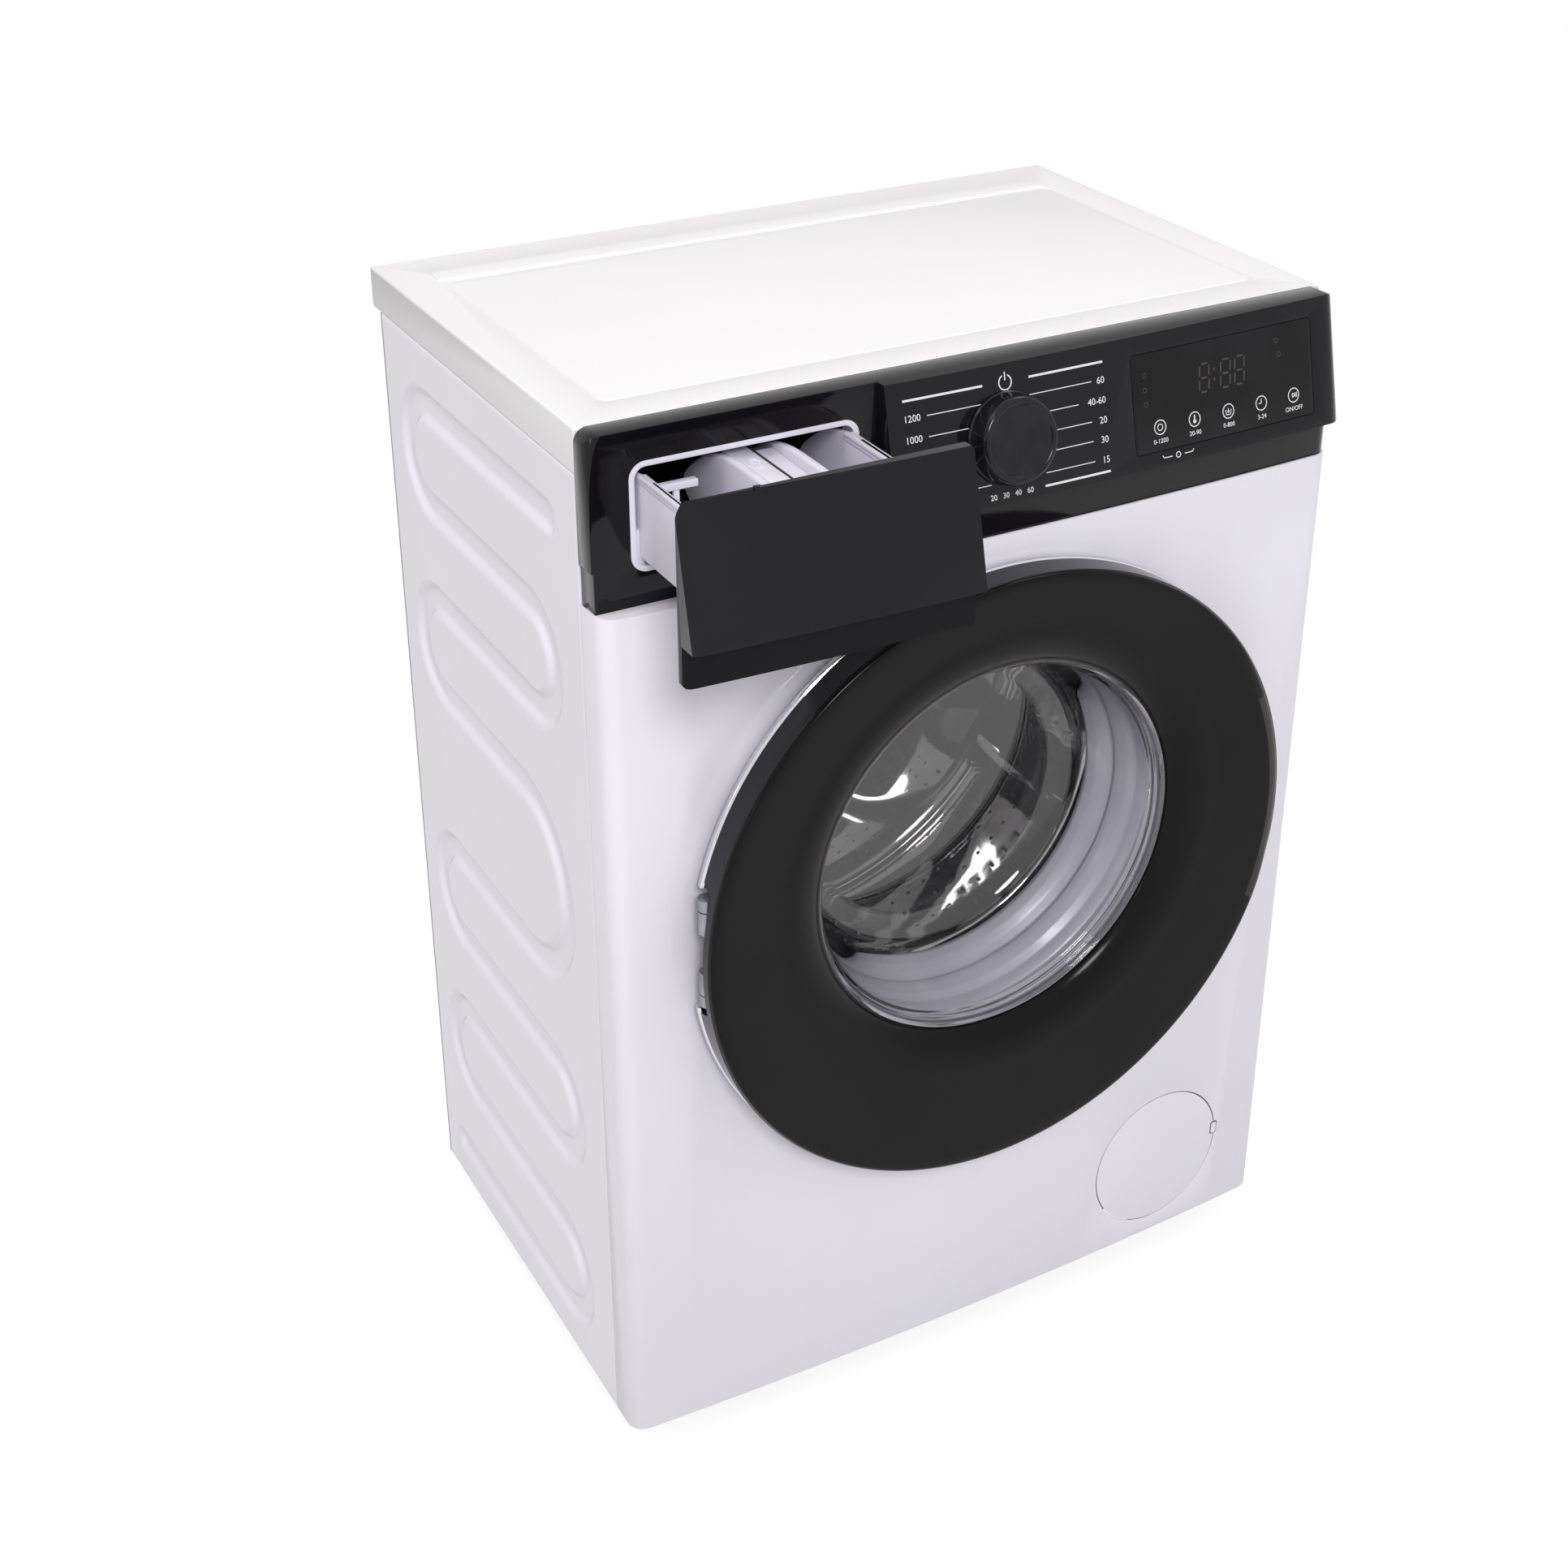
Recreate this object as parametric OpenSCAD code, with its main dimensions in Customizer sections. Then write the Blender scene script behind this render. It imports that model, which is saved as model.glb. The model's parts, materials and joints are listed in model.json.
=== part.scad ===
// Front load washing machine with the detergent drawer pulled out.
// Millimetres, +Z up, the front faces -Y. The origin is on the floor, under the cabinet's centre.

/* [Cabinet] */
// Width of the cabinet
body_w = 600; // [580:1:640]
// Height from the floor to the worktop
body_h = 850; // [840:1:900]
// Depth of the cabinet, from the foremost point of the front to the back
body_d = 395; // [390:1:470]
// Height of the cabinet's lower edge above the floor
foot_gap = 30; // [24:1:40]
// How far the front bows out at its middle
front_bow = 8.5; // [5:0.5:11]
// Radius of the cabinet's front vertical edges
corner_r = 14; // [10:1:18]
// Depth of the front panel's side returns
seam_d = 40; // [36:1:46]
// Thickness of the sheet metal
sheet = 1; // [0.8:0.1:1.4]
// Width of the folded flanges
flange_w = 18; // [14:1:24]

/* [Pressed side ribs] */
// Width of the pressed channel
rib_w = 29; // [22:1:32]
// Depth of the pressed channel
rib_depth = 4; // [2:0.5:6]
// Distance between neighbouring bars
rib_pitch = 79.7; // [74:0.1:80]
// Radius of the wide bend in the middle
rib_mid_r = 72; // [60:1:74]
// Distance from the top of the side to the first bar
rib_top = 47; // [40:1:50]
// Distance from the front seam to the channel
rib_front = 36; // [24:1:50]
// Distance from the back edge to the channel
rib_rear = 26; // [20:1:50]

/* [Worktop] */
// Height of the worktop's edge
lid_t = 32; // [26:1:38]
// How far the worktop stands out behind the cabinet
lid_over = 15; // [10:1:20]
// Wall of the worktop shell
lid_wall = 3; // [2:0.5:4]
// Rounding of the worktop's upper edge
lid_round = 4; // [2:0.5:6]

/* [Control panel] */
// Height of the control panel
panel_h = 122; // [116:1:130]
// Height of its set-back lower band
band_h = 29; // [24:1:34]
// How far the sloping face stands out over the band
face_out = 10.9; // [8:0.1:14]
// Slope of the face, set back per unit of height
face_lean = 0.235; // [0.15:0.005:0.27]
// Wall of the control panel
panel_wall = 3; // [2.4:0.1:3.6]
// Rounding of the control panel's ends
panel_r = 10; // [6:1:12]

/* [Display window] */
// Distance from the machine's middle to the window's near edge
window_x = 106; // [90:1:116]
// Width of the window
window_w = 165; // [140:1:174]
// Height of the window
window_h = 69; // [56:1:74]
// Height of the window's lower edge above the step
window_up = 11; // [8:1:14]
// Thickness of the window
window_t = 2; // [1.6:0.1:2.4]

/* [Knob] */
// Radius of the knob at its foot
knob_r = 32.5; // [26:0.5:34]
// Radius of the knob's front
knob_front_r = 29; // [22:0.5:30]
// Height of the knob
knob_h = 19; // [14:1:24]
// Height of the knob's axis above the step
knob_up = 43.5; // [38:0.5:48]
// Radius of the spindle
spindle_r = 3; // [2.5:0.1:4]

/* [Detergent drawer] */
// How far the drawer is pulled out
drawer_out = 111; // [90:1:118]
// Distance from the machine's middle to the drawer front's inner edge
drawer_x = 92; // [84:1:96]
// Distance from the cabinet's side to the drawer front's outer end
drawer_end = 6; // [4:0.5:8]
// Depth of the drawer bay behind the front
bay_d = 20; // [18:0.5:24]
// Distance from the cabinet's side to the tray
tray_in = 34; // [30:1:46]
// Length of the tray
tray_l = 178; // [150:1:190]
// Depth of the tray
tray_h = 60; // [50:1:62]
// Depth of the shallow wash compartment
wash_h = 40; // [34:1:46]
// Wall of the tray
tray_wall = 2; // [1.6:0.1:3]
// Running clearance around the tray
tray_gap = 2; // [1.5:0.25:3]

/* [Door] */
// Outer radius of the door
door_r = 248; // [236:1:252]
// Height of the door's centre
door_z = 460; // [452:1:466]
// How far the door stands out in front
door_out = 33; // [28:1:38]
// Radius of the glass at its rim
glass_r = 151; // [140:1:156]
// Wall of the glass bowl
glass_wall = 4; // [3:0.5:5]
// Depth of the glass bowl behind the front
bowl_d = 88; // [70:1:92]
// Distance from the machine's middle to the hinge axis
hinge_x = 240; // [230:1:242]
// Radius of the hinge pins
hinge_pin_r = 3; // [2.5:0.1:3.5]

/* [Drum and tub] */
// Height of the drum's axis
drum_z = 480; // [474:1:486]
// Inner radius of the drum
drum_r = 240; // [225:1:243]
// Space from the drum's back to the cabinet's back
drum_back_gap = 83; // [80:1:90]
// Depth of the drum's mouth behind the front
drum_y = 80; // [78:1:86]
// Radius of the drum's mouth
mouth_r = 146; // [140:1:150]
// Space between the drum and the tub
tub_gap = 14; // [11:1:16]
// Wall of the tub
tub_wall = 5; // [4:0.5:6]
// Radius of the drum shaft
shaft_r = 12.5; // [10:0.5:15]

/* [Drive] */
// Radius of the drum pulley
pulley_r = 138; // [120:1:145]
// Radius of the motor pulley
motor_pulley_r = 9; // [8:0.5:12]
// Height of the motor's axis
motor_z = 148; // [140:1:156]
// Radius of the motor
motor_r = 55; // [45:1:58]
// Length of the motor
motor_l = 150; // [120:1:160]

/* [Drain filter] */
// Distance from the machine's middle to the filter
filter_x = 187; // [180:1:192]
// Height of the filter's axis
filter_z = 108; // [104:1:116]
// Radius of the round flap
flap_r = 62.5; // [56:0.5:66]
// Radius of the screw-in filter
filter_r = 30; // [26:0.5:34]

/* [Connections] */
// Radius of the water inlet's thread
inlet_r = 13.2; // [12:0.1:14]
// Radius of the drain spigot
drain_r = 10; // [8:0.5:12]
// Radius of the mains gland's bore
gland_r = 4.2; // [3.5:0.1:5]
// Radius of the feet
foot_r = 19; // [16:1:22]
// Distance of the feet from the cabinet's sides
foot_in = 56; // [54:1:64]

/* [Hidden] */
$fn = 64;

white = [0.94, 0.93, 0.95];
black = [0.1, 0.1, 0.11];
grey = [0.6, 0.6, 0.63];
steel = [0.76, 0.77, 0.79];
dark = [0.3, 0.3, 0.32];

// Clearances
run_gap = 0.3;
bore_gap = 0.05;
seam_gap = 1;
eps = 0.01;

// Main planes
half_w = body_w / 2;
front_y = -body_d / 2;
back_y = body_d / 2;
lid_z = body_h - lid_t;
panel_z = body_h - panel_h;
step_z = panel_z + band_h;
seam_y = front_y + seam_d;
lean = atan(face_lean);

function bow_y(x) = front_y + front_bow * pow(x / half_w, 2);

// Front edge of a horizontal section, set back by inset and rounded at its ends
function front_curve(inset) =
    let (cx = half_w - max(corner_r, inset + 1))
    let (r = max(corner_r - inset, 1))
    let (yc = bow_y(cx) + inset + r)
    concat([for (i = [0:6]) [r * cos(180 + 15 * i) - cx, yc + r * sin(180 + 15 * i)]],
        [for (i = [1:15]) let (x = cx * (i / 8 - 1)) [x, bow_y(x) + inset]],
        [for (i = [0:6]) [r * cos(270 + 15 * i) + cx, yc + r * sin(270 + 15 * i)]]);

function flipped(points) = [for (i = [len(points) - 1:-1:0]) points[i]];
function section(inset, y) =
    concat([[inset - half_w, y]], front_curve(inset), [[half_w - inset, y]]);
function front_wall(inset, wall, y) =
    concat(section(inset, y), flipped(section(inset + wall, y)));

function unit(v) = v / norm(v);
function left_of(v) = [-v.y, v.x];
function before(path, i) = unit(path[max(i, 1)] - path[max(i, 1) - 1]);
function after(path, i) = unit(path[min(i, len(path) - 2) + 1] - path[min(i, len(path) - 2)]);
function stepped(path, i, t) =
    let (a = left_of(before(path, i)), b = left_of(after(path, i)), m = unit(a + b))
    path[i] + m * t / (m * a);

// Closed outline of a wall of thickness t along a path
function band(path, t) =
    concat(path, [for (i = [len(path) - 1:-1:0]) stepped(path, i, t)]);

// Path with each inner corner turned into a small curve
function soft(path, leg) = concat([path[0]],
    [for (i = [1:len(path) - 2]) for (k = [0:3])
        let (p = path[i], t = k / 3)
        let (a = p + unit(path[i - 1] - p) * leg, b = p + unit(path[i + 1] - p) * leg)
        a * pow(1 - t, 2) + p * 2 * t * (1 - t) + b * pow(t, 2)],
    [path[len(path) - 1]]);

// Points of a wire swept along a route; the normal is carried from ring to ring without twist
function along(route, i) = unit(before(route, i) + after(route, i));
function carried(route, normal, i = 0) = i == len(route) ? []
    : let (t = along(route, i), n = unit(normal - t * (normal * t)))
    concat([n], carried(route, n, i + 1));

module tube_along(route, r, n) {
    last = len(route) - 1;
    normals = carried(route, [0, 1, 0]);
    polyhedron(
        points = [for (i = [0:last]) for (k = [0:n - 1]) route[i]
            + r * cos(360 * k / n) * normals[i]
            + r * sin(360 * k / n) * cross(along(route, i), normals[i])],
        faces = concat([[for (k = [0:n - 1]) k]],
            [for (i = [0:last - 1]) for (k = [0:n - 1]) let (j = (k + 1) % n)
                [i * n + k, (i + 1) * n + k, (i + 1) * n + j, i * n + j]],
            [[for (k = [n - 1:-1:0]) last * n + k]]));
}

// Turned about an axis along the machine's depth, which counts from the foremost point
module facing(x, z) {
    translate([x, front_y, z]) rotate([-90, 0, 0]) children();
}

module rod(x, z, from, to, r) {
    facing(x, z) translate([0, 0, from]) cylinder(h = to - from, r = r);
}

module turned(z, points) {
    facing(0, z) rotate_extrude($fn = 128) polygon(points);
}

// Box given by its two opposite corners, with the depth from the foremost point
module block(a, b) {
    translate([a.x, front_y + a.y, a.z]) cube(b - a);
}

// Upright rounded rectangle, cut through along the depth
module face_plate(x, z, w, h, r, from, to) {
    translate([x, front_y + to, z]) rotate([90, 0, 0]) linear_extrude(to - from) rounded(w, h, r);
}

module rounded(w, h, r) {
    translate([r, 0]) square([w - 2 * r, h]);
    translate([0, r]) square([w, h - 2 * r]);
    for (x = [r, w - r]) for (y = [r, h - r]) translate([x, y]) circle(r);
}

// Pressed ribs: one serpentine channel of nine bars
rib_run = 6;
rib_turn = rib_pitch / 2;
rib_from = seam_y + rib_front + rib_w / 2;
rib_to = back_y - rib_rear - rib_w / 2;
rib_last = 8;
rib_gap_at = 3;

function rib_z(i) = lid_z - rib_top - i * rib_pitch
    - (i > rib_gap_at ? 2 * rib_mid_r - rib_pitch : 0);
function rib_start(i) = i == 0 ? rib_from
    : i == rib_gap_at || i == rib_gap_at + 1 ? rib_from + rib_mid_r : rib_from + rib_turn;
function rib_end(i) = i == rib_last ? rib_to : rib_to - rib_turn;
function rib_profile(grow) = [[-rib_w / 2 - grow, 0], [rib_w / 2 + grow, 0],
    [rib_w / 2 - rib_run + grow, rib_depth + grow], [rib_run - rib_w / 2 - grow, rib_depth + grow]];

module rib_bend(y, z, r, grow, front) {
    translate([0, y, z]) rotate([0, 90, 0]) rotate([0, 0, front ? 180 : 0])
        rotate_extrude(angle = 180) polygon([for (p = rib_profile(grow)) [r + p.x, p.y]]);
}

module rib_tip(y, z, grow) {
    translate([0, y, z]) rotate([0, 90, 0])
        cylinder(h = rib_depth + grow, r1 = rib_w / 2 + grow, r2 = rib_w / 2 - rib_run + grow);
}

module ribs(grow) {
    for (i = [0:rib_last])
        translate([0, rib_end(i), rib_z(i)]) rotate([90, 0, 0])
            linear_extrude(rib_end(i) - rib_start(i))
                polygon([for (p = rib_profile(grow)) [p.y, p.x]]);
    for (i = [0:2:6])
        rib_bend(rib_end(i), rib_z(i) - rib_turn, rib_turn, grow, false);
    for (i = [1, 5, 7]) rib_bend(rib_start(i), rib_z(i) - rib_turn, rib_turn, grow, true);
    rib_bend(rib_start(rib_gap_at), rib_z(rib_gap_at) - rib_mid_r, rib_mid_r, grow, true);
    rib_tip(rib_start(0), rib_z(0), grow);
    rib_tip(rib_end(rib_last), rib_z(rib_last), grow);
}

// One pressed side with its folded flanges
module side_skin() {
    skin_y = seam_y + seam_gap;
    difference() {
        union() {
            translate([0, skin_y, foot_gap]) cube([sheet, back_y - sheet - skin_y, lid_z - foot_gap]);
            translate([sheet, seam_y - flange_w / 2, foot_gap + sheet])
                cube([sheet, flange_w, panel_z - foot_gap - 3 * sheet]);
            translate([0, back_y - 2 * sheet, foot_gap]) cube([flange_w, sheet, lid_z - foot_gap]);
            for (z = [foot_gap, lid_z - sheet])
                translate([0, skin_y + flange_w, z])
                    cube([flange_w, back_y - sheet - skin_y - flange_w, sheet]);
            ribs(sheet);
        }
        ribs(0);
    }
}

module left_side() {
    color(white) translate([-half_w, 0, 0]) side_skin();
}

module right_side() {
    color(white) translate([half_w, 0, 0]) mirror([1, 0, 0]) side_skin();
}

// Places along the depth, counted from the foremost point
lid_y = seam_y;
lid_back = back_y + lid_over;
hinge_z = (door_z + drum_z) / 2;
hinge_d = -13;
spring_d = 280;
spring_x = half_w - 75;
latch_x = door_r - 34;
latch_d = -16;
dish_r = door_r - 16;
dish_d = 20;
mouth_hole_r = glass_r + 14;
tub_r = drum_r + 1 + tub_gap;
drum_l = body_d - drum_y - drum_back_gap;
tub_out = tub_r + tub_wall;
tub_y = drum_y - tub_gap - 3;
tub_split = drum_y + 0.47 * drum_l;
drum_end = drum_y + drum_l;
spider_t = 11;
tub_back = drum_end + spider_t + 4;
hub_end = tub_back + 40;
pulley_w = 14;
pulley_y = hub_end + 4;
cover_r = pulley_r + 18;

// Bolt places on the back
transit = [for (x = [-1, 1]) for (z = [-1, 1]) [x * 175, drum_z + z * 120]];
gland_at = [half_w - 60, lid_z - 60];
inlet_at = [half_w - 125, lid_z - 46];
pump_r = filter_r + 5;
drain_at = [filter_x + pump_r + drain_r + 1, filter_z - 8];
cover_bolts = [for (i = [0:5]) [(cover_r + 8) * cos(60 * i), drum_z + (cover_r + 8) * sin(60 * i)]];
screw_r = 2.5;
transit_r = 6;

module rear_panel() {
    color(grey) difference() {
        block([-half_w, body_d - sheet, foot_gap], [half_w, body_d, lid_z]);
        rod(0, drum_z, body_d - 2 * sheet, body_d + 1, cover_r);
        for (p = transit) rod(p.x, p.y, body_d - 2 * sheet, body_d + 1, transit_r + 4);
        for (p = cover_bolts) rod(p.x, p.y, body_d - 2 * sheet, body_d + 1, screw_r);
        rod(gland_at.x, gland_at.y, body_d - 2 * sheet, body_d + 1, gland_r + 5);
        rod(inlet_at.x, inlet_at.y, body_d - 2 * sheet, body_d + 1, inlet_r + 1);
        rod(drain_at.x, drain_at.y, body_d - 2 * sheet, body_d + 1, drain_r + 3);
        for (i = [0:4]) face_plate(-half_w + 70, foot_gap + 60 + 16 * i, 90, 8, 3,
            body_d - 2 * sheet, body_d + 1);
    }
}

// Dished service cover behind the pulley
module rear_cover() {
    lip = cover_r + 16;
    color(grey) difference() {
        turned(drum_z, band([[0, body_d + 7], [cover_r - 14, body_d + 7], [cover_r - 4, body_d],
            [lip, body_d]], sheet));
        for (p = cover_bolts) rod(p.x, p.y, body_d - 1, body_d + 4, screw_r);
    }
}

foot_x = half_w - foot_in;
foot_front = foot_in + 4;
foot_rear = body_d - foot_in;
foot_places = [for (x = [-foot_x, foot_x]) for (y = [foot_front, foot_rear]) [x, front_y + y]];
stem_r = 5;
tray_floor = foot_gap + sheet;

module base_tray() {
    rim = 26;
    wall = 2.5;
    from = seam_d + 2;
    to = body_d - 3 * sheet;
    side = half_w - 3 * sheet;
    color(dark) difference() {
        union() {
            difference() {
                block([-side, from, tray_floor], [side, to, tray_floor + rim]);
                block([wall - side, from + wall, tray_floor + wall],
                    [side - wall, to - wall, tray_floor + rim + 1]);
            }
            for (x = [-0.5, 0, 0.5]) block([x * side - 1.5, from + wall - eps, tray_floor + wall - eps],
                [x * side + 1.5, to - wall + eps, tray_floor + rim / 2]);
            for (p = foot_places) translate([p.x, p.y, tray_floor]) cylinder(h = rim, r = stem_r + 7);
        }
        for (p = foot_places) translate([p.x, p.y, 0])
            cylinder(h = tray_floor + rim + 1, r = stem_r + bore_gap);
    }
}

// Bowed front with the dished seat of the door
module front_panel() {
    flap_hole = flap_r + seam_gap;
    color(white) difference() {
        union() {
            difference() {
                translate([0, 0, foot_gap]) linear_extrude(panel_z - foot_gap)
                    polygon(front_wall(0, sheet, seam_y));
                rod(0, door_z, -1, dish_d, dish_r);
            }
            intersection() {
                difference() {
                    rod(0, door_z, -1, dish_d + sheet, dish_r + sheet);
                    rod(0, door_z, -2, dish_d, dish_r);
                }
                translate([0, 0, foot_gap]) linear_extrude(panel_z - foot_gap)
                    polygon(section(0, seam_y));
            }
            for (z = [foot_gap, panel_z - sheet])
                translate([0, 0, z]) linear_extrude(sheet)
                    polygon(front_wall(0, flange_w, front_y + flange_w + corner_r + 2));
        }
        rod(0, drum_z, dish_d - 1, dish_d + sheet + 1, mouth_hole_r);
        rod(filter_x, filter_z, -1, dish_d, flap_hole);
        block([latch_x - 14, dish_d - 1, hinge_z - 9], [latch_x + 12, dish_d + sheet + 1, hinge_z + 9]);
    }
}

// Worktop: a hollow moulding with a fine sunk frame and a raised bar along the back
module worktop() {
    frame_in = 32;
    color(white) difference() {
        union() {
            intersection() {
                translate([-half_w, 0, 0]) rotate([90, 0, 90]) linear_extrude(body_w)
                    polygon(soft([[lid_y, lid_z], [lid_y, body_h], [lid_back, body_h],
                        [lid_back, lid_z], [lid_back - lid_round, lid_z]], lid_round / 2));
                translate([0, lid_back + 1, 0]) rotate([90, 0, 0])
                    linear_extrude(lid_back - lid_y + 2)
                    polygon(soft([[lid_wall - half_w, lid_z], [-half_w, lid_z], [-half_w, body_h],
                        [half_w, body_h], [half_w, lid_z], [half_w - lid_wall, lid_z]], lid_round / 2));
            }
            translate([frame_in - half_w, back_y - 44, body_h - eps])
                linear_extrude(1.5) rounded(2 * (half_w - frame_in), 20, 4);
        }
        difference() {
            translate([lid_wall - half_w, lid_y - 1, lid_z - 1])
                cube([2 * (half_w - lid_wall), lid_back - lid_wall - lid_y + 1, lid_t - lid_wall + 1]);
            difference() {
                for (y = [lid_y + lid_wall, back_y - 70]) translate([-half_w, y, lid_z])
                    cube([body_w, lid_wall, lid_t]);
                block([open_x - 5, seam_d, lid_z - 1], [open_x + open_w + 5, housing_end, housing_top + 1]);
            }
        }
        difference() {
            lid_frame(frame_in, 2, 12);
            lid_frame(frame_in + 2.5, 3, 9.5);
        }
    }
}

module lid_frame(in, h, r) {
    translate([in - half_w, lid_y + in, body_h - 0.6]) linear_extrude(h)
        rounded(2 * (half_w - in), back_y - 14 - lid_y - 2 * in, r);
}

// Rails that tie the two sides together under the worktop
module cross_rails() {
    top = lid_z - sheet;
    side = half_w - 2 * sheet;
    h = 30;
    color(steel) {
        block([-side, spring_d - 18, top - sheet], [side, spring_d + 18, top]);
        block([-side, spring_d - 18, top - h], [side, spring_d - 18 + sheet, top]);
        block([-side, seam_d + 3, panel_z - h], [side, seam_d + 3 + sheet, panel_z + h / 2]);
        block([-side, seam_d + 3, panel_z + h / 2 - sheet], [side, seam_d + 14, panel_z + h / 2]);
    }
    color(steel) for (x = [-spring_x, spring_x]) difference() {
        block([x - 1.5, spring_d - 9, spring_high - 8], [x + 1.5, spring_d + 9, top - sheet]);
        translate([x - 2, front_y + spring_d, spring_high]) rotate([0, 90, 0]) cylinder(h = 4, r = 3.4);
    }
}

// Leaning body of the control panel, set in by inset
module leaning(inset, top) {
    intersection() {
        translate([0, front_y - face_out, step_z]) rotate([-lean, 0, 0])
            translate([0, -front_y, -panel_h])
            linear_extrude(3 * panel_h) polygon(section(inset, seam_y + panel_h));
        block([inset - half_w, -panel_h, step_z + (inset > 0 ? panel_wall : 0)],
            [half_w - inset, seam_d, top]);
    }
}

// Upright end view of the panel with its rounded upper corners
module end_view(inset) {
    w = 2 * (half_w - inset);
    face_plate(inset - half_w, panel_z - panel_r, w, panel_h + panel_r - inset, panel_r,
        -panel_h, seam_d + 1);
}

bay_x = drawer_x - seam_gap;
tray_x = tray_in - half_w;
tray_w = -tray_x - drawer_x - 18;
tray_top = step_z + 63;
tray_z = tray_top - tray_h;
tray_y = bay_d - seam_gap;
tray_end = tray_y + tray_l;
open_x = tray_x - tray_gap;
open_w = tray_w + 2 * tray_gap;
open_z = tray_z - 5;
open_h = tray_h + 9;
knob_z = step_z + knob_up;
window_z = step_z + window_up;
face_at_knob = knob_up * face_lean - face_out;

module face_hole(x, z, r) {
    translate([x, front_y + face_at_knob, z]) rotate([-90 - lean, 0, 0])
        translate([0, 0, -20]) cylinder(h = 60, r = r);
}

// Upright control panel with the drawer's bay at its left end
module control_panel() {
    band_in = 1.5;
    color(black) difference() {
        intersection() {
            union() {
                translate([0, 0, panel_z]) linear_extrude(step_z - panel_z + eps)
                    polygon(section(band_in, seam_y));
                leaning(0, body_h);
            }
            end_view(0);
        }
        intersection() {
            union() {
                translate([0, 0, panel_z - 1]) linear_extrude(band_h + 1 + 2 * panel_wall)
                    polygon(section(band_in + panel_wall, seam_y + 1));
                leaning(panel_wall, body_h - panel_wall);
            }
            union() {
                block([panel_wall - bay_x, -panel_h, panel_z - 1], [half_w, seam_d + 1, body_h]);
                block([-half_w, bay_d + panel_wall, panel_z - 1], [half_w, seam_d + 1, body_h]);
            }
            end_view(panel_wall);
        }
        block([-half_w - 1, -panel_h, panel_z - 1], [-bay_x, bay_d, body_h + 1]);
        face_plate(open_x - 4, open_z - 4, open_w + 8, open_h + 8, 12, 0, seam_d + 1);
        intersection() {
            face_plate(window_x - 0.4, window_z - 0.4, window_w + 0.8, window_h + 0.8, 3.4,
                -panel_h, seam_d);
            difference() {
                leaning(-1, body_h);
                leaning(window_t, body_h - eps);
            }
        }
        face_plate(window_x + 8, window_z + 8, window_w - 16, window_h - 16, 3, -panel_h, seam_d);
        face_hole(0, knob_z, spindle_r + 1);
        for (x = [half_w - 20, -half_w + 20]) block([x - 8, seam_d - 8, panel_z - 1],
            [x + 8, seam_d + 1, panel_z + 1]);
    }
}

// Smoked window that follows the leaning bowed face
module display_window() {
    color(dark) intersection() {
        face_plate(window_x, window_z, window_w, window_h, 3, -panel_h, seam_d);
        difference() {
            leaning(0, body_h);
            leaning(window_t, body_h - eps);
        }
    }
}

// Circuit board behind the window, held on two posts
module display_board() {
    y = face_out / 2 + 14;
    color([0.12, 0.3, 0.2]) {
        block([window_x + 2, y, window_z + 4], [window_x + window_w - 2, y + 1.6, window_z + window_h - 6]);
        for (x = [window_x + 14, window_x + window_w - 14])
            block([x - 3, y + eps, window_z + window_h - 16],
                [x + 3, y + 8, body_h - panel_wall]);
    }
}

// Rotary selector that carries the knob's spindle
module selector() {
    back = panel_wall / cos(lean);
    color(grey) translate([0, front_y + face_at_knob, knob_z]) rotate([-90 - lean, 0, 0])
        difference() {
            union() {
                translate([-16, -16, back + 0.1]) cube([32, 32, 14]);
                translate([0, 0, 13]) cylinder(h = 12, r = 11);
            }
            cylinder(h = 40, r = spindle_r + bore_gap);
        }
}

knob_gap = 0.4;

// Round knob with a bevelled rim and a small dimple, on its spindle
module knob() {
    color(steel) translate([0, front_y + face_at_knob, knob_z]) rotate([90 - lean, 0, 0])
        difference() {
            union() {
                rotate_extrude($fn = 96) polygon(concat([[0, knob_gap], [knob_r, knob_gap]],
                    soft([[knob_r, 2.2], [knob_r - 0.6, 3], [knob_front_r + 0.8, knob_h - 2.5],
                        [knob_front_r - 1.5, knob_h], [0, knob_h]], 0.5)));
                translate([0, 0, -20]) cylinder(h = 21, r = spindle_r);
            }
            translate([0, -knob_front_r + 6, knob_h + 0.8]) sphere(r = 2.4);
        }
}

housing_end = tray_end + 16;
housing_top = open_z + open_h + 6.5;
drop_x = -drawer_x - 40;
drop_d = 150;
spray_x = drop_x - 20;
spray_r = 7;
hose_r = 12;

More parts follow.
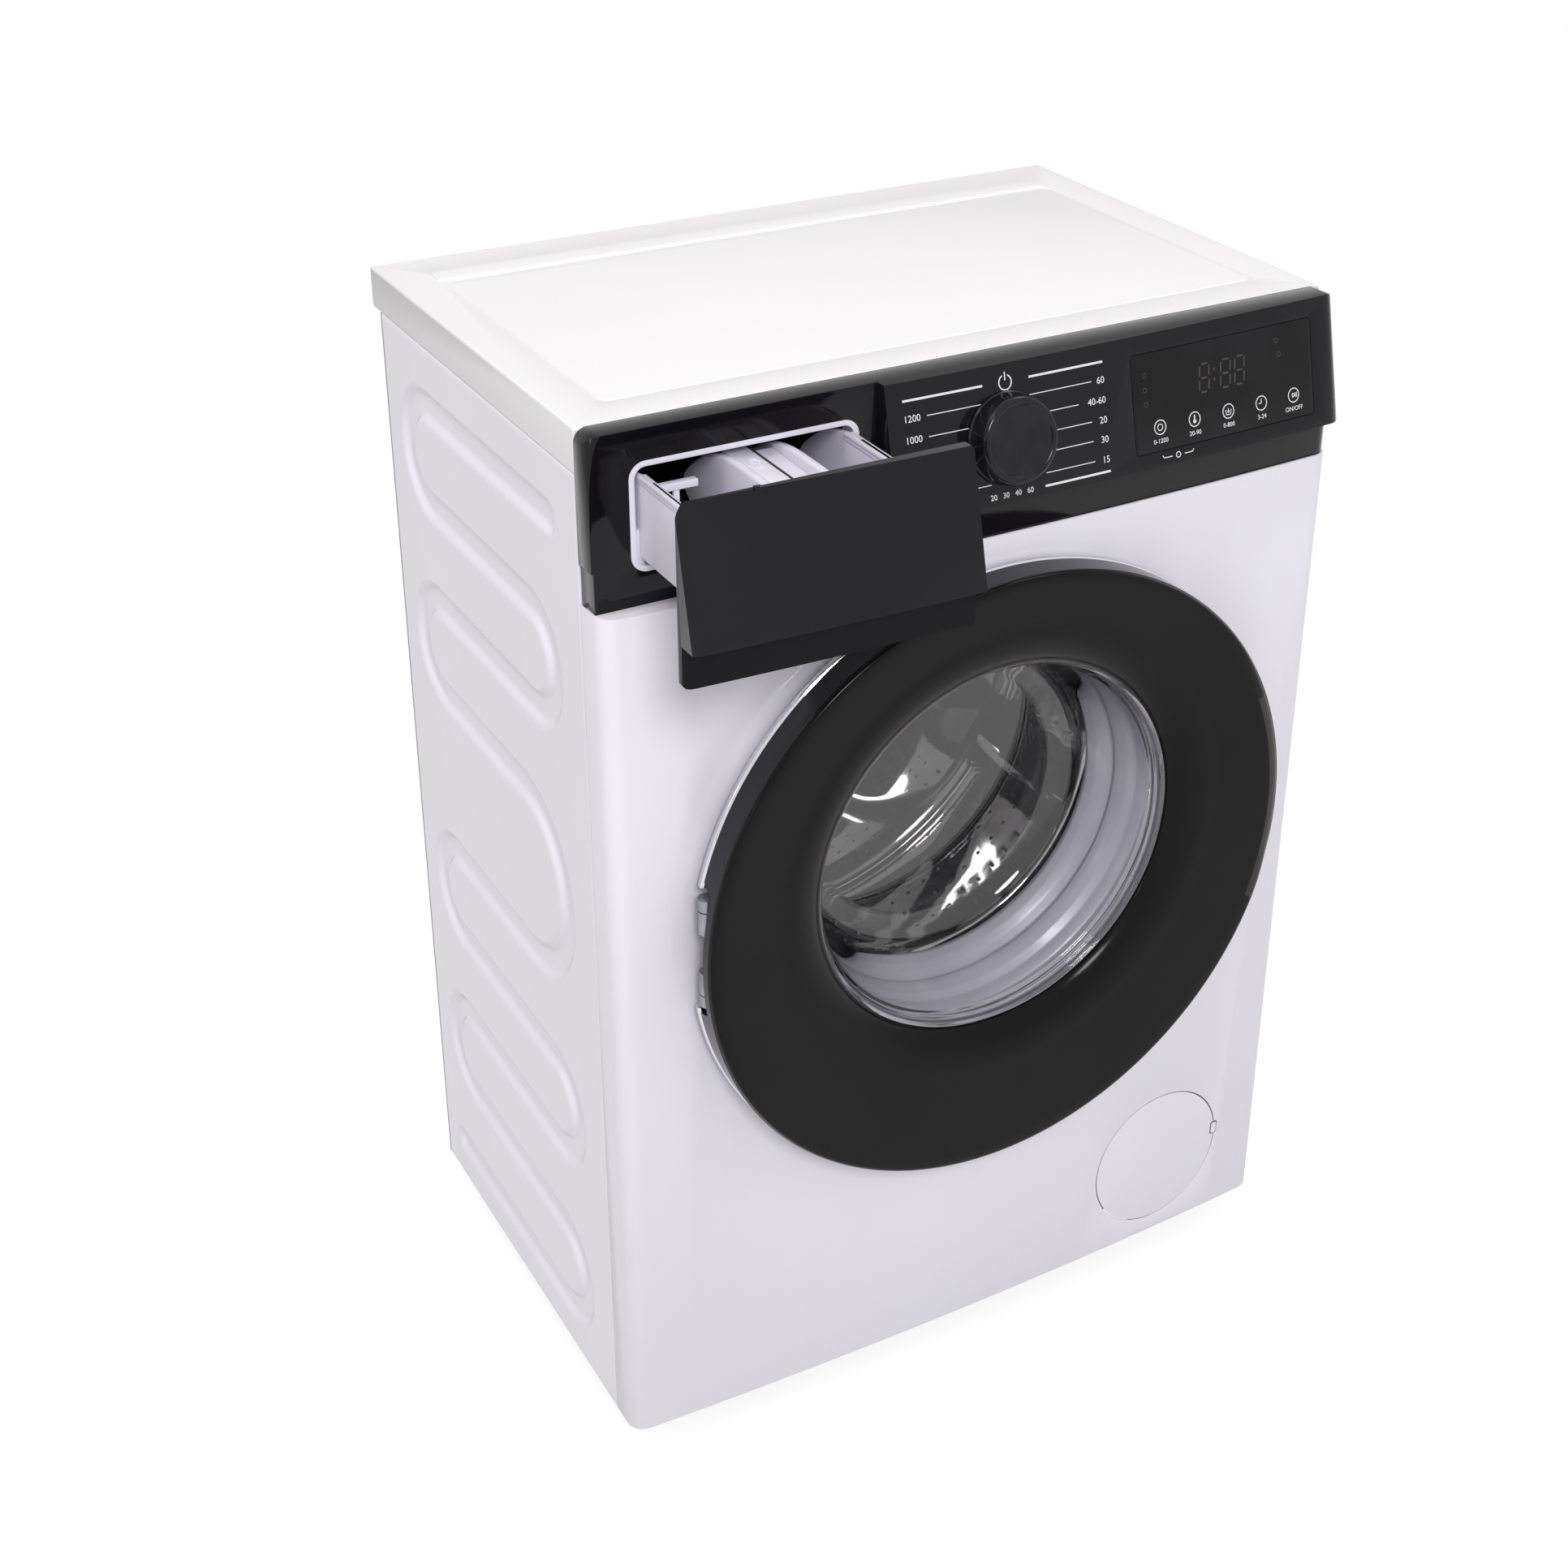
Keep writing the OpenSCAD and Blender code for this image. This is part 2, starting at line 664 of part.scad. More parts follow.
// Housing of the detergent drawer, with its rim, runners and outlet
module drawer_housing() {
    wall = 2.5;
    color(grey) difference() {
        union() {
            face_plate(open_x - 3.8, open_z - 3.8, open_w + 7.6, open_h + 7.6, 11.8,
                bay_d, bay_d + panel_wall + 1);
            face_plate(open_x - 9, open_z - 9, open_w + 18, open_h + 18, 12,
                bay_d + panel_wall, bay_d + panel_wall + 2);
            block([open_x - wall, bay_d + panel_wall, open_z - wall],
                [open_x + open_w + wall, housing_end, open_z + open_h + wall]);
            translate([drop_x, front_y + drop_d, open_z - 16]) cylinder(h = 16, r = hose_r);
            for (k = [0:5]) block([open_x - wall, bay_d + 40 + 28 * k, open_z + open_h + wall - eps],
                [open_x + open_w + wall, bay_d + 42 + 28 * k, housing_top]);
            rod(spray_x, inlet_at.y, housing_end - eps, housing_end + 16, spray_r);
        }
        difference() {
            union() {
                face_plate(open_x, open_z, open_w, open_h, 8, bay_d - 1, bay_d + panel_wall + 2);
                face_plate(open_x, open_z, open_w, open_h, 3, bay_d + panel_wall + 1, housing_end - wall);
            }
            block([open_x - 1, bay_d + 3, open_z - 1], [open_x + 7, housing_end, tray_top - wash_h - run_gap]);
            for (x = [open_x + open_w - 40, open_x + open_w - 90])
                block([x, bay_d + 3, open_z - 1], [x + 3, housing_end, tray_z - run_gap]);
        }
        translate([drop_x, front_y + drop_d, open_z - 17]) cylinder(h = 20, r = hose_r - 2.5);
        rod(spray_x, inlet_at.y, housing_end - 10, housing_end + 17, spray_r - 2);
    }
}

// Ribbed rubber hose between two upright spigots
module bellows(from, to, r) {
    n = round((to - from - 12) / 7);
    pitch = (to - from - 12) / n;
    rotate_extrude() polygon(concat([[r + 0.2, from], [r + 2.4, from]],
        [for (k = [0:n - 1]) each [[r + 2.4, from + 6 + pitch * k],
            [r + fold_r, from + 6 + pitch * (k + 0.35)], [r + fold_r, from + 6 + pitch * (k + 0.6)]]],
        [[r + 2.4, to - 6], [r + 2.4, to], [r + 0.2, to]]));
}

function tub_rise(x) = sqrt(pow(tub_out, 2) - pow(x, 2));
fold_r = 5;

module drawer_hose() {
    color(dark) translate([drop_x, front_y + drop_d, 0])
        bellows(drum_z + tub_rise(-drop_x - hose_r - fold_r) + seam_gap, open_z - 3, hose_r);
}

// Solenoid valve with its threaded inlet outside the back
module water_valve() {
    out = 18;
    color(white) difference() {
        union() {
            rod(inlet_at.x, inlet_at.y, body_d - 26, body_d + out, inlet_r);
            rod(inlet_at.x, inlet_at.y, body_d, body_d + 2, inlet_r + 5);
            block([inlet_at.x - 12, body_d - 48, inlet_at.y - 14], [inlet_at.x + 12, body_d - 20, inlet_at.y + 10]);
            facing(inlet_at.x, inlet_at.y) translate([0, 0, body_d - 62]) cylinder(h = 20, r = 13);
            translate([inlet_at.x - 26, front_y + body_d - 34, inlet_at.y]) rotate([0, 90, 0])
                cylinder(h = 20, r = 6);
        }
        rod(inlet_at.x, inlet_at.y, body_d - 10, body_d + out + 1, inlet_r - 3.5);
    }
}

// Hose from the valve to the back of the drawer housing
module inlet_hose() {
    r = spray_r + 2.5;
    turn = 30;
    y = body_d - 34;
    z = inlet_at.y;
    end = inlet_at.x - 14;
    color(dark) difference() {
        union() {
            translate([spray_x + turn, front_y + y, z]) rotate([0, 90, 0])
                cylinder(h = end - spray_x - turn, r = r);
            translate([spray_x + turn, front_y + y - turn, z]) rotate([0, 0, 90])
                rotate_extrude(angle = 90) translate([turn, 0]) circle(r);
            rod(spray_x, z, housing_end + 4, y - turn, r);
        }
        rod(spray_x, z, housing_end + 3, housing_end + 18, spray_r + bore_gap);
        translate([end - 13, front_y + y, z]) rotate([0, 90, 0]) cylinder(h = 14, r = 6 + bore_gap);
    }
}

collar_r = mouth_hole_r - 5;
collar_y = tub_y - 16;
collar_t = 3.6;
sump_x = filter_x - 50;
sump_d = 90;
sump_r = 16;
sump_top = drum_z - tub_rise(sump_x);

tub_bolts = [for (i = [0:13]) [(tub_out + 7) * cos(360 * (i + 0.5) / 14),
    drum_z + (tub_out + 7) * sin(360 * (i + 0.5) / 14)]];
flange = tub_out + 12;
damper_top = [130, drum_z - tub_rise(130) - 16];
damper_foot = [214, tray_floor + 22];
damper_d = 255;

// Front half of the tub, with the gasket's collar and the two hose spigots
module tub_front() {
    color(grey) difference() {
        union() {
            turned(drum_z, band([[tub_out, tub_split], [tub_out, tub_y],
                [collar_r + collar_t, tub_y], [collar_r + collar_t, collar_y]], -collar_t));
            turned(drum_z, [[tub_out - 1, tub_split - 5], [flange, tub_split - 5],
                [flange, tub_split], [tub_out - 1, tub_split]]);
            difference() {
                union() {
                    translate([drop_x, front_y + drop_d, drum_z])
                        cylinder(h = tub_rise(drop_x) + 22, r = hose_r);
                    translate([sump_x, front_y + sump_d, sump_top - 30])
                        cylinder(h = drum_z - sump_top, r = sump_r);
                }
                rod(0, drum_z, 0, body_d, tub_out - collar_t);
            }
            for (a = [20:20:160]) facing(0, drum_z) rotate([0, 0, -a])
                translate([collar_r + 12, -1.5, tub_y - 6])
                cube([tub_out - collar_r - 16, 3, 6 + eps]);
        }
        translate([drop_x, front_y + drop_d, drum_z]) cylinder(h = tub_out, r = hose_r - 2.5);
        translate([sump_x, front_y + sump_d, sump_top - 31])
            cylinder(h = drum_z - sump_top, r = sump_r - 2.5);
        for (p = tub_bolts) rod(p.x, p.y, tub_split - 6, tub_split + 1, screw_r);
    }
}

seal_w = 8;
bearing_w = 13;
bearings = [[tub_back + seal_w, 31], [hub_end - bearing_w, 26]];
motor_y = tub_back - motor_l - 10;
lug_x = motor_r - 8;
lug_z = motor_z + motor_r + 4;
heater_r = 3.5;
heater_at = [for (a = [-8, 8]) [(drum_r + 9) * sin(a), drum_z - (drum_r + 9) * cos(a)]];

// Rear half of the tub, ribbed, with the bearing hub and lugs for springs, dampers and motor
module tub_rear() {
    color(grey) difference() {
        union() {
            turned(drum_z, band([[tub_out, tub_split], [tub_out, tub_back + 4],
                [0, tub_back + 4]], 4));
            turned(drum_z, [[tub_out - 1, tub_split], [flange, tub_split],
                [flange, tub_split + 5], [tub_out - 1, tub_split + 5]]);
            rod(0, drum_z, tub_back, hub_end, bearings[0][1] + 8);
            for (a = [0:30:330]) facing(0, drum_z) rotate([0, 0, a])
                translate([bearings[0][1], -2, tub_back + 3])
                cube([tub_out - bearings[0][1] - 3, 4, 12]);
            for (x = [-lug_x, lug_x]) block([x - 6, tub_back - 50, lug_z - 8],
                [x + 6, tub_back - 20, drum_z - tub_out + 12]);
            for (p = transit) rod(p.x, p.y, tub_back + 3, tub_back + 24, transit_r + 6);
            for (x = [-1, 1]) {
                difference() {
                    union() {
                        block([x * spring_x - 4, spring_d - 12, drum_z],
                            [x * spring_x + 4, spring_d + 12, spring_low + 8]);
                        block([x * damper_top.x - 10, damper_d - 5, damper_top.y],
                            [x * damper_top.x + 10, damper_d + 5, drum_z]);
                        rod(x * damper_top.x, damper_top.y, damper_d - 5, damper_d + 5, 10);
                    }
                    rod(0, drum_z, 0, body_d, tub_out - 1);
                }
            }
        }
        rod(0, drum_z, tub_back - 1, hub_end + 1, shaft_r + 4);
        rod(0, drum_z, tub_back - 1, bearings[0][0] + bearing_w, bearings[0][1]);
        rod(0, drum_z, bearings[1][0], hub_end + 1, bearings[1][1]);
        for (p = tub_bolts) rod(p.x, p.y, tub_split - 1, tub_split + 10, screw_r);
        for (p = transit) rod(p.x, p.y, tub_back + 6, tub_back + 25, transit_r - 1);
        for (p = heater_at) rod(p.x, p.y, tub_back - 1, tub_back + 16, heater_r + bore_gap);
        for (x = [-1, 1]) {
            translate([x * lug_x - 7, front_y + tub_back - 35, lug_z]) rotate([0, 90, 0])
                cylinder(h = 14, r = 4);
            translate([x * spring_x - 5, front_y + spring_d, spring_low]) rotate([0, 90, 0])
                cylinder(h = 10, r = 3.4);
            rod(x * damper_top.x, damper_top.y, damper_d - 6, damper_d + 6, 4 + bore_gap);
        }
    }
}

spring_low = drum_z + tub_rise(spring_x) + 26;
spring_high = lid_z - 34;
spring_r = 10;
wire_r = 1.6;

// Coil springs, shown as they hold the tub, with a hook at each end
module tub_springs() {
    turns = 9;
    low = spring_low + 14;
    rise = spring_high - 14 - low;
    hook = [[-6, 0, 1], [-4.5, 0, -0.8], [0, 0, -1.5], [4.5, 0, -0.8], [7, 0, 3], [6, -2, 8],
        [8, -5, 12]];
    route = concat([for (p = hook) p + [0, 0, spring_low]],
        [for (i = [0:10 * turns]) [spring_r * cos(36 * i), spring_r * sin(36 * i),
            low + rise * i / (10 * turns)]],
        [for (p = flipped(hook)) [p.x, -p.y, spring_high - p.z]]);
    color(steel) for (x = [-spring_x, spring_x])
        translate([x, front_y + spring_d, 0]) tube_along(route, wire_r, 6);
}

damper_tilt = atan2(damper_foot.x - damper_top.x, damper_top.y - damper_foot.y);
damper_len = norm(damper_foot - damper_top);

module along_damper(side) {
    translate([side * damper_foot.x, front_y + damper_d, damper_foot.y])
        rotate([0, -side * damper_tilt, 0]) children();
}

module damper_tubes() {
    color(dark) for (side = [-1, 1]) along_damper(side) difference() {
        union() {
            translate([0, 0, 8]) cylinder(h = damper_len * 0.56, r = 13);
            rotate([90, 0, 0]) translate([0, 0, -10]) cylinder(h = 20, r = 10);
            translate([0, 0, 8 + damper_len * 0.56 - 12]) cylinder(h = 12, r = 15);
        }
        translate([0, 0, 22]) cylinder(h = damper_len, r = 5 + bore_gap);
        rotate([90, 0, 0]) translate([0, 0, -11]) cylinder(h = 22, r = 4 + bore_gap);
    }
}

// Damper rods with a forked upper end on a pin through the tub's ear
module damper_rods() {
    color(steel) for (side = [-1, 1]) along_damper(side) {
        translate([0, 0, damper_len * 0.4]) cylinder(h = damper_len * 0.6 - 14, r = 5);
        translate([-8, -9, damper_len - 17]) cube([16, 18, 5]);
        for (y = [-9, 5.3]) translate([-8, y, damper_len - 17]) cube([16, 3.7, 25]);
        translate([0, 9, damper_len]) rotate([90, 0, 0]) cylinder(h = 18, r = 4);
    }
}

// Soft ring between the front panel and the tub, with a lip that seals on the glass
module gasket() {
    lip_d = bowl_d - 21;
    lip_r = glass_r - 12.2;
    m = mouth_hole_r;
    c = collar_r;
    inner = [[m + 7, dish_d - run_gap], [m - 2.2, dish_d - run_gap], [m - 3.5, dish_d + 5],
        [glass_r - 1, dish_d + 21], [lip_r + 1.8, lip_d - 7], [lip_r, lip_d], [lip_r + 4, lip_d + 2.2],
        [c - 11, tub_y - 2], [c - 3, tub_y - 8], [c - 3, collar_y - 4], [c + 6.5, collar_y - 6],
        [c + 6.5, collar_y + 8]];
    color([0.62, 0.62, 0.66]) {
        turned(drum_z, band(inner, 2.6));
        turned(drum_z, [[m - run_gap, dish_d - run_gap - 1], [m - 3, dish_d - run_gap - 1],
            [m - 3, dish_d + sheet + 4], [m + 6, dish_d + sheet + 2.6], [m + 6, dish_d + sheet + run_gap],
            [m - run_gap, dish_d + sheet + run_gap]]);
    }
}

// Wire clamps that hold the gasket at the front panel and on the tub's collar
module gasket_clamp() {
    color(steel) {
        facing(0, drum_z) translate([0, 0, dish_d - run_gap - 2.6 - 1.5 - bore_gap]) rotate_extrude($fn = 128)
            translate([mouth_hole_r + 3, 0]) circle(r = 1.5, $fn = 24);
        facing(0, drum_z) translate([0, 0, collar_y + 4]) rotate_extrude($fn = 128)
            translate([collar_r + 6.5 + 1.5 + bore_gap, 0]) circle(r = 1.5, $fn = 24);
    }
}

// Concrete crescent on the lower front of the tub
module front_weight() {
    color([0.72, 0.71, 0.69]) facing(0, drum_z) rotate([0, 0, 20]) rotate_extrude(angle = 140, $fn = 128)
        polygon([[collar_r + 18, tub_y - 17], [tub_out - 8, tub_y - 17], [tub_out - 4, tub_y - 12],
            [tub_out - 4, tub_y], [collar_r + 14, tub_y], [collar_r + 14, tub_y - 13]]);
}

// Concrete block that rides on top of the tub
module top_weight() {
    color([0.72, 0.71, 0.69]) difference() {
        face_plate(spring_x - 281, drum_z + tub_out - 34, 230, 70, 8, tub_split + 14, drum_end - 5);
        rod(0, drum_z, 0, body_d, tub_out + bore_gap);
    }
}

// Heating element low in the gap between drum and tub
module heater() {
    from = tub_split + 20;
    bend = heater_at[1].x;
    color(steel) {
        for (p = heater_at) {
            rod(p.x, p.y, from + bend, tub_back + 22, heater_r);
            rod(p.x, p.y, tub_back + 15, tub_back + 18, heater_r + 7);
        }
        translate([0, front_y + from + bend, heater_at[0].y]) rotate([0, 0, 180])
            rotate_extrude(angle = 180) translate([bend, 0]) circle(heater_r);
    }
}

module drum_bearings() {
    color(steel) for (b = bearings) difference() {
        rod(0, drum_z, b[0], b[0] + bearing_w, b[1] - bore_gap);
        rod(0, drum_z, b[0] - 1, b[0] + bearing_w + 1, shaft_r + bore_gap);
        for (y = [b[0] - 1, b[0] + bearing_w - 1]) difference() {
            rod(0, drum_z, y, y + 2, b[1] - 4);
            rod(0, drum_z, y, y + 2, shaft_r + 4);
        }
    }
}

module shaft_seal() {
    color(dark) turned(drum_z, [[shaft_r + run_gap, tub_back + 1], [shaft_r + 3, tub_back + 4],
        [bearings[0][1] - 8, tub_back + 4], [bearings[0][1] - 4, tub_back],
        [bearings[0][1] - bore_gap, tub_back], [bearings[0][1] - bore_gap, tub_back + seal_w],
        [shaft_r + 2, tub_back + seal_w], [shaft_r + run_gap, tub_back + 3]]);
}

motor_shaft_r = 6;

// Motor with cooling slots and two ears bolted to the tub's lugs
module motor() {
    end = motor_y + motor_l;
    color(steel) difference() {
        union() {
            rod(0, motor_z, motor_y, motor_y + 24, motor_r - 3);
            rod(0, motor_z, motor_y + 18, end - 24, motor_r);
            rod(0, motor_z, end - 30, end, motor_r - 3);
            rod(0, motor_z, end - eps, end + 6, motor_shaft_r + 8);
            for (side = [0, 1]) mirror([side, 0, 0]) {
                block([lug_x + 7, tub_back - 48, motor_z], [lug_x + 12, tub_back - 22, lug_z + 9]);
                translate([lug_x - 14, front_y + tub_back - 35, lug_z]) rotate([0, 90, 0])
                    cylinder(h = 28, r = 3.8);
            }
        }
        rod(0, motor_z, end - 60, end + 7, motor_shaft_r + bore_gap);
        for (k = [0:11]) facing(0, motor_z) rotate([0, 0, 30 * k])
            translate([motor_r - 12, -4, motor_y - 1]) cube([7, 8, 8]);
    }
}

belt_w = 9.4;
belt_t = 4;
belt_gap = 0.4;
belt_reach = drum_z - motor_z;

belt_tilt = asin((pulley_r - motor_pulley_r) / belt_reach);
belt_y = pulley_y + (pulley_w - belt_w) / 2;

function belt_line(grow) = concat(
    [for (i = [0:48]) let (a = -belt_tilt + i * (180 + 2 * belt_tilt) / 48)
        (pulley_r + grow) * [cos(a), sin(a)]],
    [for (i = [0:12]) let (a = 180 + belt_tilt + i * (180 - 2 * belt_tilt) / 12)
        (motor_pulley_r + grow) * [cos(a), sin(a)] - [0, belt_reach]]);

// Belt wrapped round both pulleys
module drive_belt() {
    color(dark) translate([0, front_y + belt_y + belt_w, drum_z]) rotate([90, 0, 0])
        difference() {
            linear_extrude(belt_w) polygon(belt_line(belt_gap + belt_t));
            translate([0, 0, -1]) linear_extrude(belt_w + 2) polygon(belt_line(belt_gap));
        }
}

// Small grooved pulley on the motor's shaft
module motor_pulley() {
    color(steel) {
        rod(0, motor_z, motor_y + motor_l - 58, pulley_y + pulley_w + 2, motor_shaft_r);
        turned(motor_z, concat([[motor_shaft_r - 1, pulley_y - 1], [motor_pulley_r + 1.6, pulley_y - 1],
            [motor_pulley_r + 1.6, pulley_y + 1]],
            [for (k = [0:4]) each [[motor_pulley_r, pulley_y + 2.2 + 2 * k],
                [motor_pulley_r - 1.2, pulley_y + 3.2 + 2 * k]]],
            [[motor_pulley_r, pulley_y + 12.2], [motor_pulley_r + 1.6, pulley_y + 13],
            [motor_pulley_r + 1.6, pulley_y + 15], [motor_shaft_r - 1, pulley_y + 15]]));
    }
}

pump_end = 112;

// Drain pump with the filter's bore, an upright inlet and an outlet to the back
module drain_pump() {
    floor_z = tray_floor + 2.5;
    color(dark) difference() {
        union() {
            rod(filter_x, filter_z, 12, pump_end, pump_r);
            rod(filter_x, filter_z, pump_end - eps, pump_end + 18, pump_r - 4);
            rod(filter_x, filter_z, pump_end + 18 - eps, pump_end + 62, 26);
            translate([sump_x, front_y + sump_d, filter_z]) rotate([0, 90, 0])
                cylinder(h = filter_x - sump_x, r = sump_r);
            translate([sump_x, front_y + sump_d, filter_z]) sphere(r = sump_r);
            translate([sump_x, front_y + sump_d, filter_z]) cylinder(h = 40, r = sump_r);
            translate([filter_x, front_y + sump_d, drain_at.y]) rotate([0, 90, 0])
                cylinder(h = drain_at.x - filter_x + 12, r = 12);
            block([filter_x - 24, seam_d + 10, floor_z], [filter_x - 18, pump_end, filter_z - 20]);
            block([filter_x + 18, seam_d + 10, floor_z], [filter_x + 24, pump_end, filter_z - 20]);
        }
        rod(filter_x, filter_z, 11, pump_end - 8, filter_r + run_gap);
        translate([sump_x, front_y + sump_d, filter_z]) cylinder(h = 41, r = sump_r - 3);
        translate([sump_x, front_y + sump_d, filter_z]) rotate([0, 90, 0])
            cylinder(h = filter_x - sump_x, r = sump_r - 3);
        rod(drain_at.x, drain_at.y, sump_d, sump_d + 13, 6);
    }
}

module sump_hose() {
    color(dark) translate([sump_x, front_y + sump_d, 0])
        bellows(filter_z + 22, drum_z - tub_rise(sump_x - sump_r - fold_r) - seam_gap, sump_r);
}

// Rigid outlet pipe, with its spigot outside the back
module drain_pipe() {
    out = 24;
    from = sump_d + 12.2;
    color(grey) difference() {
        union() {
            rod(drain_at.x, drain_at.y, from, body_d + out, drain_r);
            rod(drain_at.x, drain_at.y, body_d, body_d + 2, drain_r + 8);
        }
        rod(drain_at.x, drain_at.y, from - 1, body_d + out + 1, drain_r - 2.5);
    }
}

// Bush that the mains lead would pass through
module mains_gland() {
    color(dark) difference() {
        union() {
            rod(gland_at.x, gland_at.y, body_d - sheet - 8, body_d + 8, gland_r + 4.8);
            rod(gland_at.x, gland_at.y, body_d, body_d + 3, gland_r + 9);
            rod(gland_at.x, gland_at.y, body_d - sheet - 3, body_d - sheet, gland_r + 7);
        }
        rod(gland_at.x, gland_at.y, body_d - 12, body_d + 9, gland_r);
    }
}

// Lock behind the dished seat; its slot takes the door's hook
module door_lock() {
    color(dark) difference() {
        union() {
            block([latch_x - 23, dish_d + sheet, hinge_z - 30], [latch_x + 16, dish_d + 33, hinge_z + 30]);
            block([latch_x - 8, dish_d + 33 - eps, hinge_z + 4], [latch_x + 12, dish_d + 37, hinge_z + 24]);
        }
        block([latch_x - 18, dish_d + 5, hinge_z - 8], [latch_x + 12, dish_d + 24, hinge_z + 8]);
        block([latch_x - 10, dish_d, hinge_z - 8], [latch_x + 12, dish_d + 6, hinge_z + 8]);
    }
}

leaf_h = 34;
knuckle_r = 6;
arm_h = 9;

// Bracket on the dished seat with two arms that hold the door's pins
module hinge_bracket() {
    color(steel) for (side = [-1, 1]) {
        z = hinge_z + side * (leaf_h + 1 + arm_h / 2);
        translate([0, 0, z - arm_h / 2]) linear_extrude(arm_h) {
            translate([-hinge_x + 20, front_y + hinge_d]) square([10, dish_d - hinge_d]);
            translate([-hinge_x, front_y + hinge_d - knuckle_r]) square([30, 2 * knuckle_r]);
            translate([-hinge_x, front_y + hinge_d]) circle(knuckle_r);
        }
        translate([-hinge_x, front_y + hinge_d, z - (side > 0 ? 26 : arm_h / 2)])
            cylinder(h = 26 + arm_h / 2, r = hinge_pin_r);
    }
    color(steel) block([-hinge_x + 20, dish_d - 3, hinge_z - leaf_h - arm_h],
        [-hinge_x + 48, dish_d, hinge_z + leaf_h + arm_h]);
}

// Door's half of the hinge
module hinge_leaf() {
    color(steel) difference() {
        union() {
            block([-hinge_x, frame_d - 3, hinge_z - leaf_h], [-hinge_x + 60, frame_d, hinge_z + leaf_h]);
            for (side = [-1, 1]) translate([-hinge_x, front_y + hinge_d, hinge_z + side * 25 - 9])
                cylinder(h = 18, r = knuckle_r);
        }
        block([-hinge_x - 7, hinge_d - 7, hinge_z - 15.5], [-hinge_x + 9, frame_d + 1, hinge_z + 15.5]);
        translate([-hinge_x, front_y + hinge_d, hinge_z - leaf_h - 1])
            cylinder(h = 2 * leaf_h + 2, r = hinge_pin_r + bore_gap);
        translate([-hinge_x - knuckle_r, front_y + hinge_d + knuckle_r, hinge_z - leaf_h - 1])
            cube([knuckle_r, 6, 2 * leaf_h + 2]);
    }
}

frame_d = -9;
frame_t = 7;

// Black outer ring, dished towards the glass, which sits above the ring's middle
module door_trim() {
    rim = [[0, frame_d], [door_r - 1.5, frame_d], [door_r, -16], [door_r, -door_out + 6],
        [door_r - 1, -door_out + 2], [door_r - 5, -door_out], [0, -door_out]];
    color(black) difference() {
        facing(0, door_z) rotate_extrude($fn = 128) polygon(soft(rim, 1.8));
        hull() {
            rod(0, door_z, -door_out - 2, -door_out - eps, door_r - 5);
            rod(0, drum_z, -15, -15 + eps, glass_r);
        }
        rod(0, drum_z, -door_out, 0, glass_r);
        difference() {
            rod(0, door_z, -door_out + 5, frame_d + 1, door_r - 3);
            hull() {
                rod(0, door_z, -door_out, -door_out + 2, door_r - 2);
                rod(0, drum_z, frame_d - 4 - eps, frame_d - 4, glass_r + 14);
            }
        }
        hinge_notch(-22);
    }
}

module hinge_notch(from) {
    block([-door_r - 5, from, hinge_z - 49], [-hinge_x + 32, frame_d + frame_t + 1, hinge_z + 49]);
}

// Rear frame of the door, bright at its outer edge, with two ears for the hook
module door_frame() {
    rim = [[0, frame_d], [door_r - 1, frame_d], [door_r + 1, frame_d + 1.5],
        [door_r + 1, frame_d + frame_t - 2], [door_r - 1, frame_d + frame_t], [0, frame_d + frame_t]];
    color(steel) difference() {
        union() {
            difference() {
                facing(0, door_z) rotate_extrude($fn = 128) polygon(soft(rim, 0.6));
                rod(0, door_z, frame_d + 3, 0, door_r - 14);
            }
            for (z = [hinge_z - 11, hinge_z + 7.5])
                block([latch_x - 5, latch_d - 4, z], [latch_x + 5, frame_d + eps, z + 3.5]);
        }
        rod(0, drum_z, frame_d - 1, 0, glass_r + 5);
        hinge_notch(frame_d - 1);
        block([latch_x - 11, frame_d - 1, hinge_z - 7.5], [latch_x + 7, 0, hinge_z + 7.5]);
        translate([latch_x, front_y + latch_d, hinge_z - 15]) cylinder(h = 30, r = 2 + bore_gap);
    }
}

// Moulded glass bowl, clamped by its flange between the ring and the frame
module door_glass() {
    face = [[glass_r + 12, frame_d - 4], [glass_r - 1, frame_d - 4], [glass_r - 5, -3],
        [glass_r - 20, bowl_d - 18], [glass_r - 42, bowl_d - 4], [0, bowl_d - glass_wall]];
    color([0.8, 0.85, 0.88, 0.45]) turned(drum_z, band(soft(face, 4), -glass_wall));
}

// Sprung hook of the door on its own trunnions
module latch_hook() {
    color(steel) translate([latch_x, front_y + latch_d, hinge_z]) {
        translate([0, 0, -5]) linear_extrude(10) {
            circle(4);
            translate([-3, 0]) square([6, 50]);
            polygon(soft([[0, 46], [-9, 46], [-7, 54], [0, 56], [3, 52], [3, 46], [0, 46]], 1.5));
        }
        translate([0, 0, -11]) cylinder(h = 22, r = 2);
    }
}

foot_h = 13;

module feet() {
    color(dark) for (p = foot_places) translate([p.x, p.y, 0]) {
        cylinder(h = 4, r1 = foot_r - 1, r2 = foot_r);
        translate([0, 0, 4]) cylinder(h = foot_h - 4, r1 = foot_r, r2 = foot_r - 5);
        cylinder(h = tray_floor + 22, r = stem_r);
    }
}

// Lock nuts under the cabinet
module foot_nuts() {
    color(steel) for (p = foot_places) translate([p.x, p.y, tray_floor - 7]) difference() {
        cylinder(h = 7, r = stem_r + 5, $fn = 6);
        translate([0, 0, -1]) cylinder(h = 9, r = stem_r + bore_gap);
    }
}

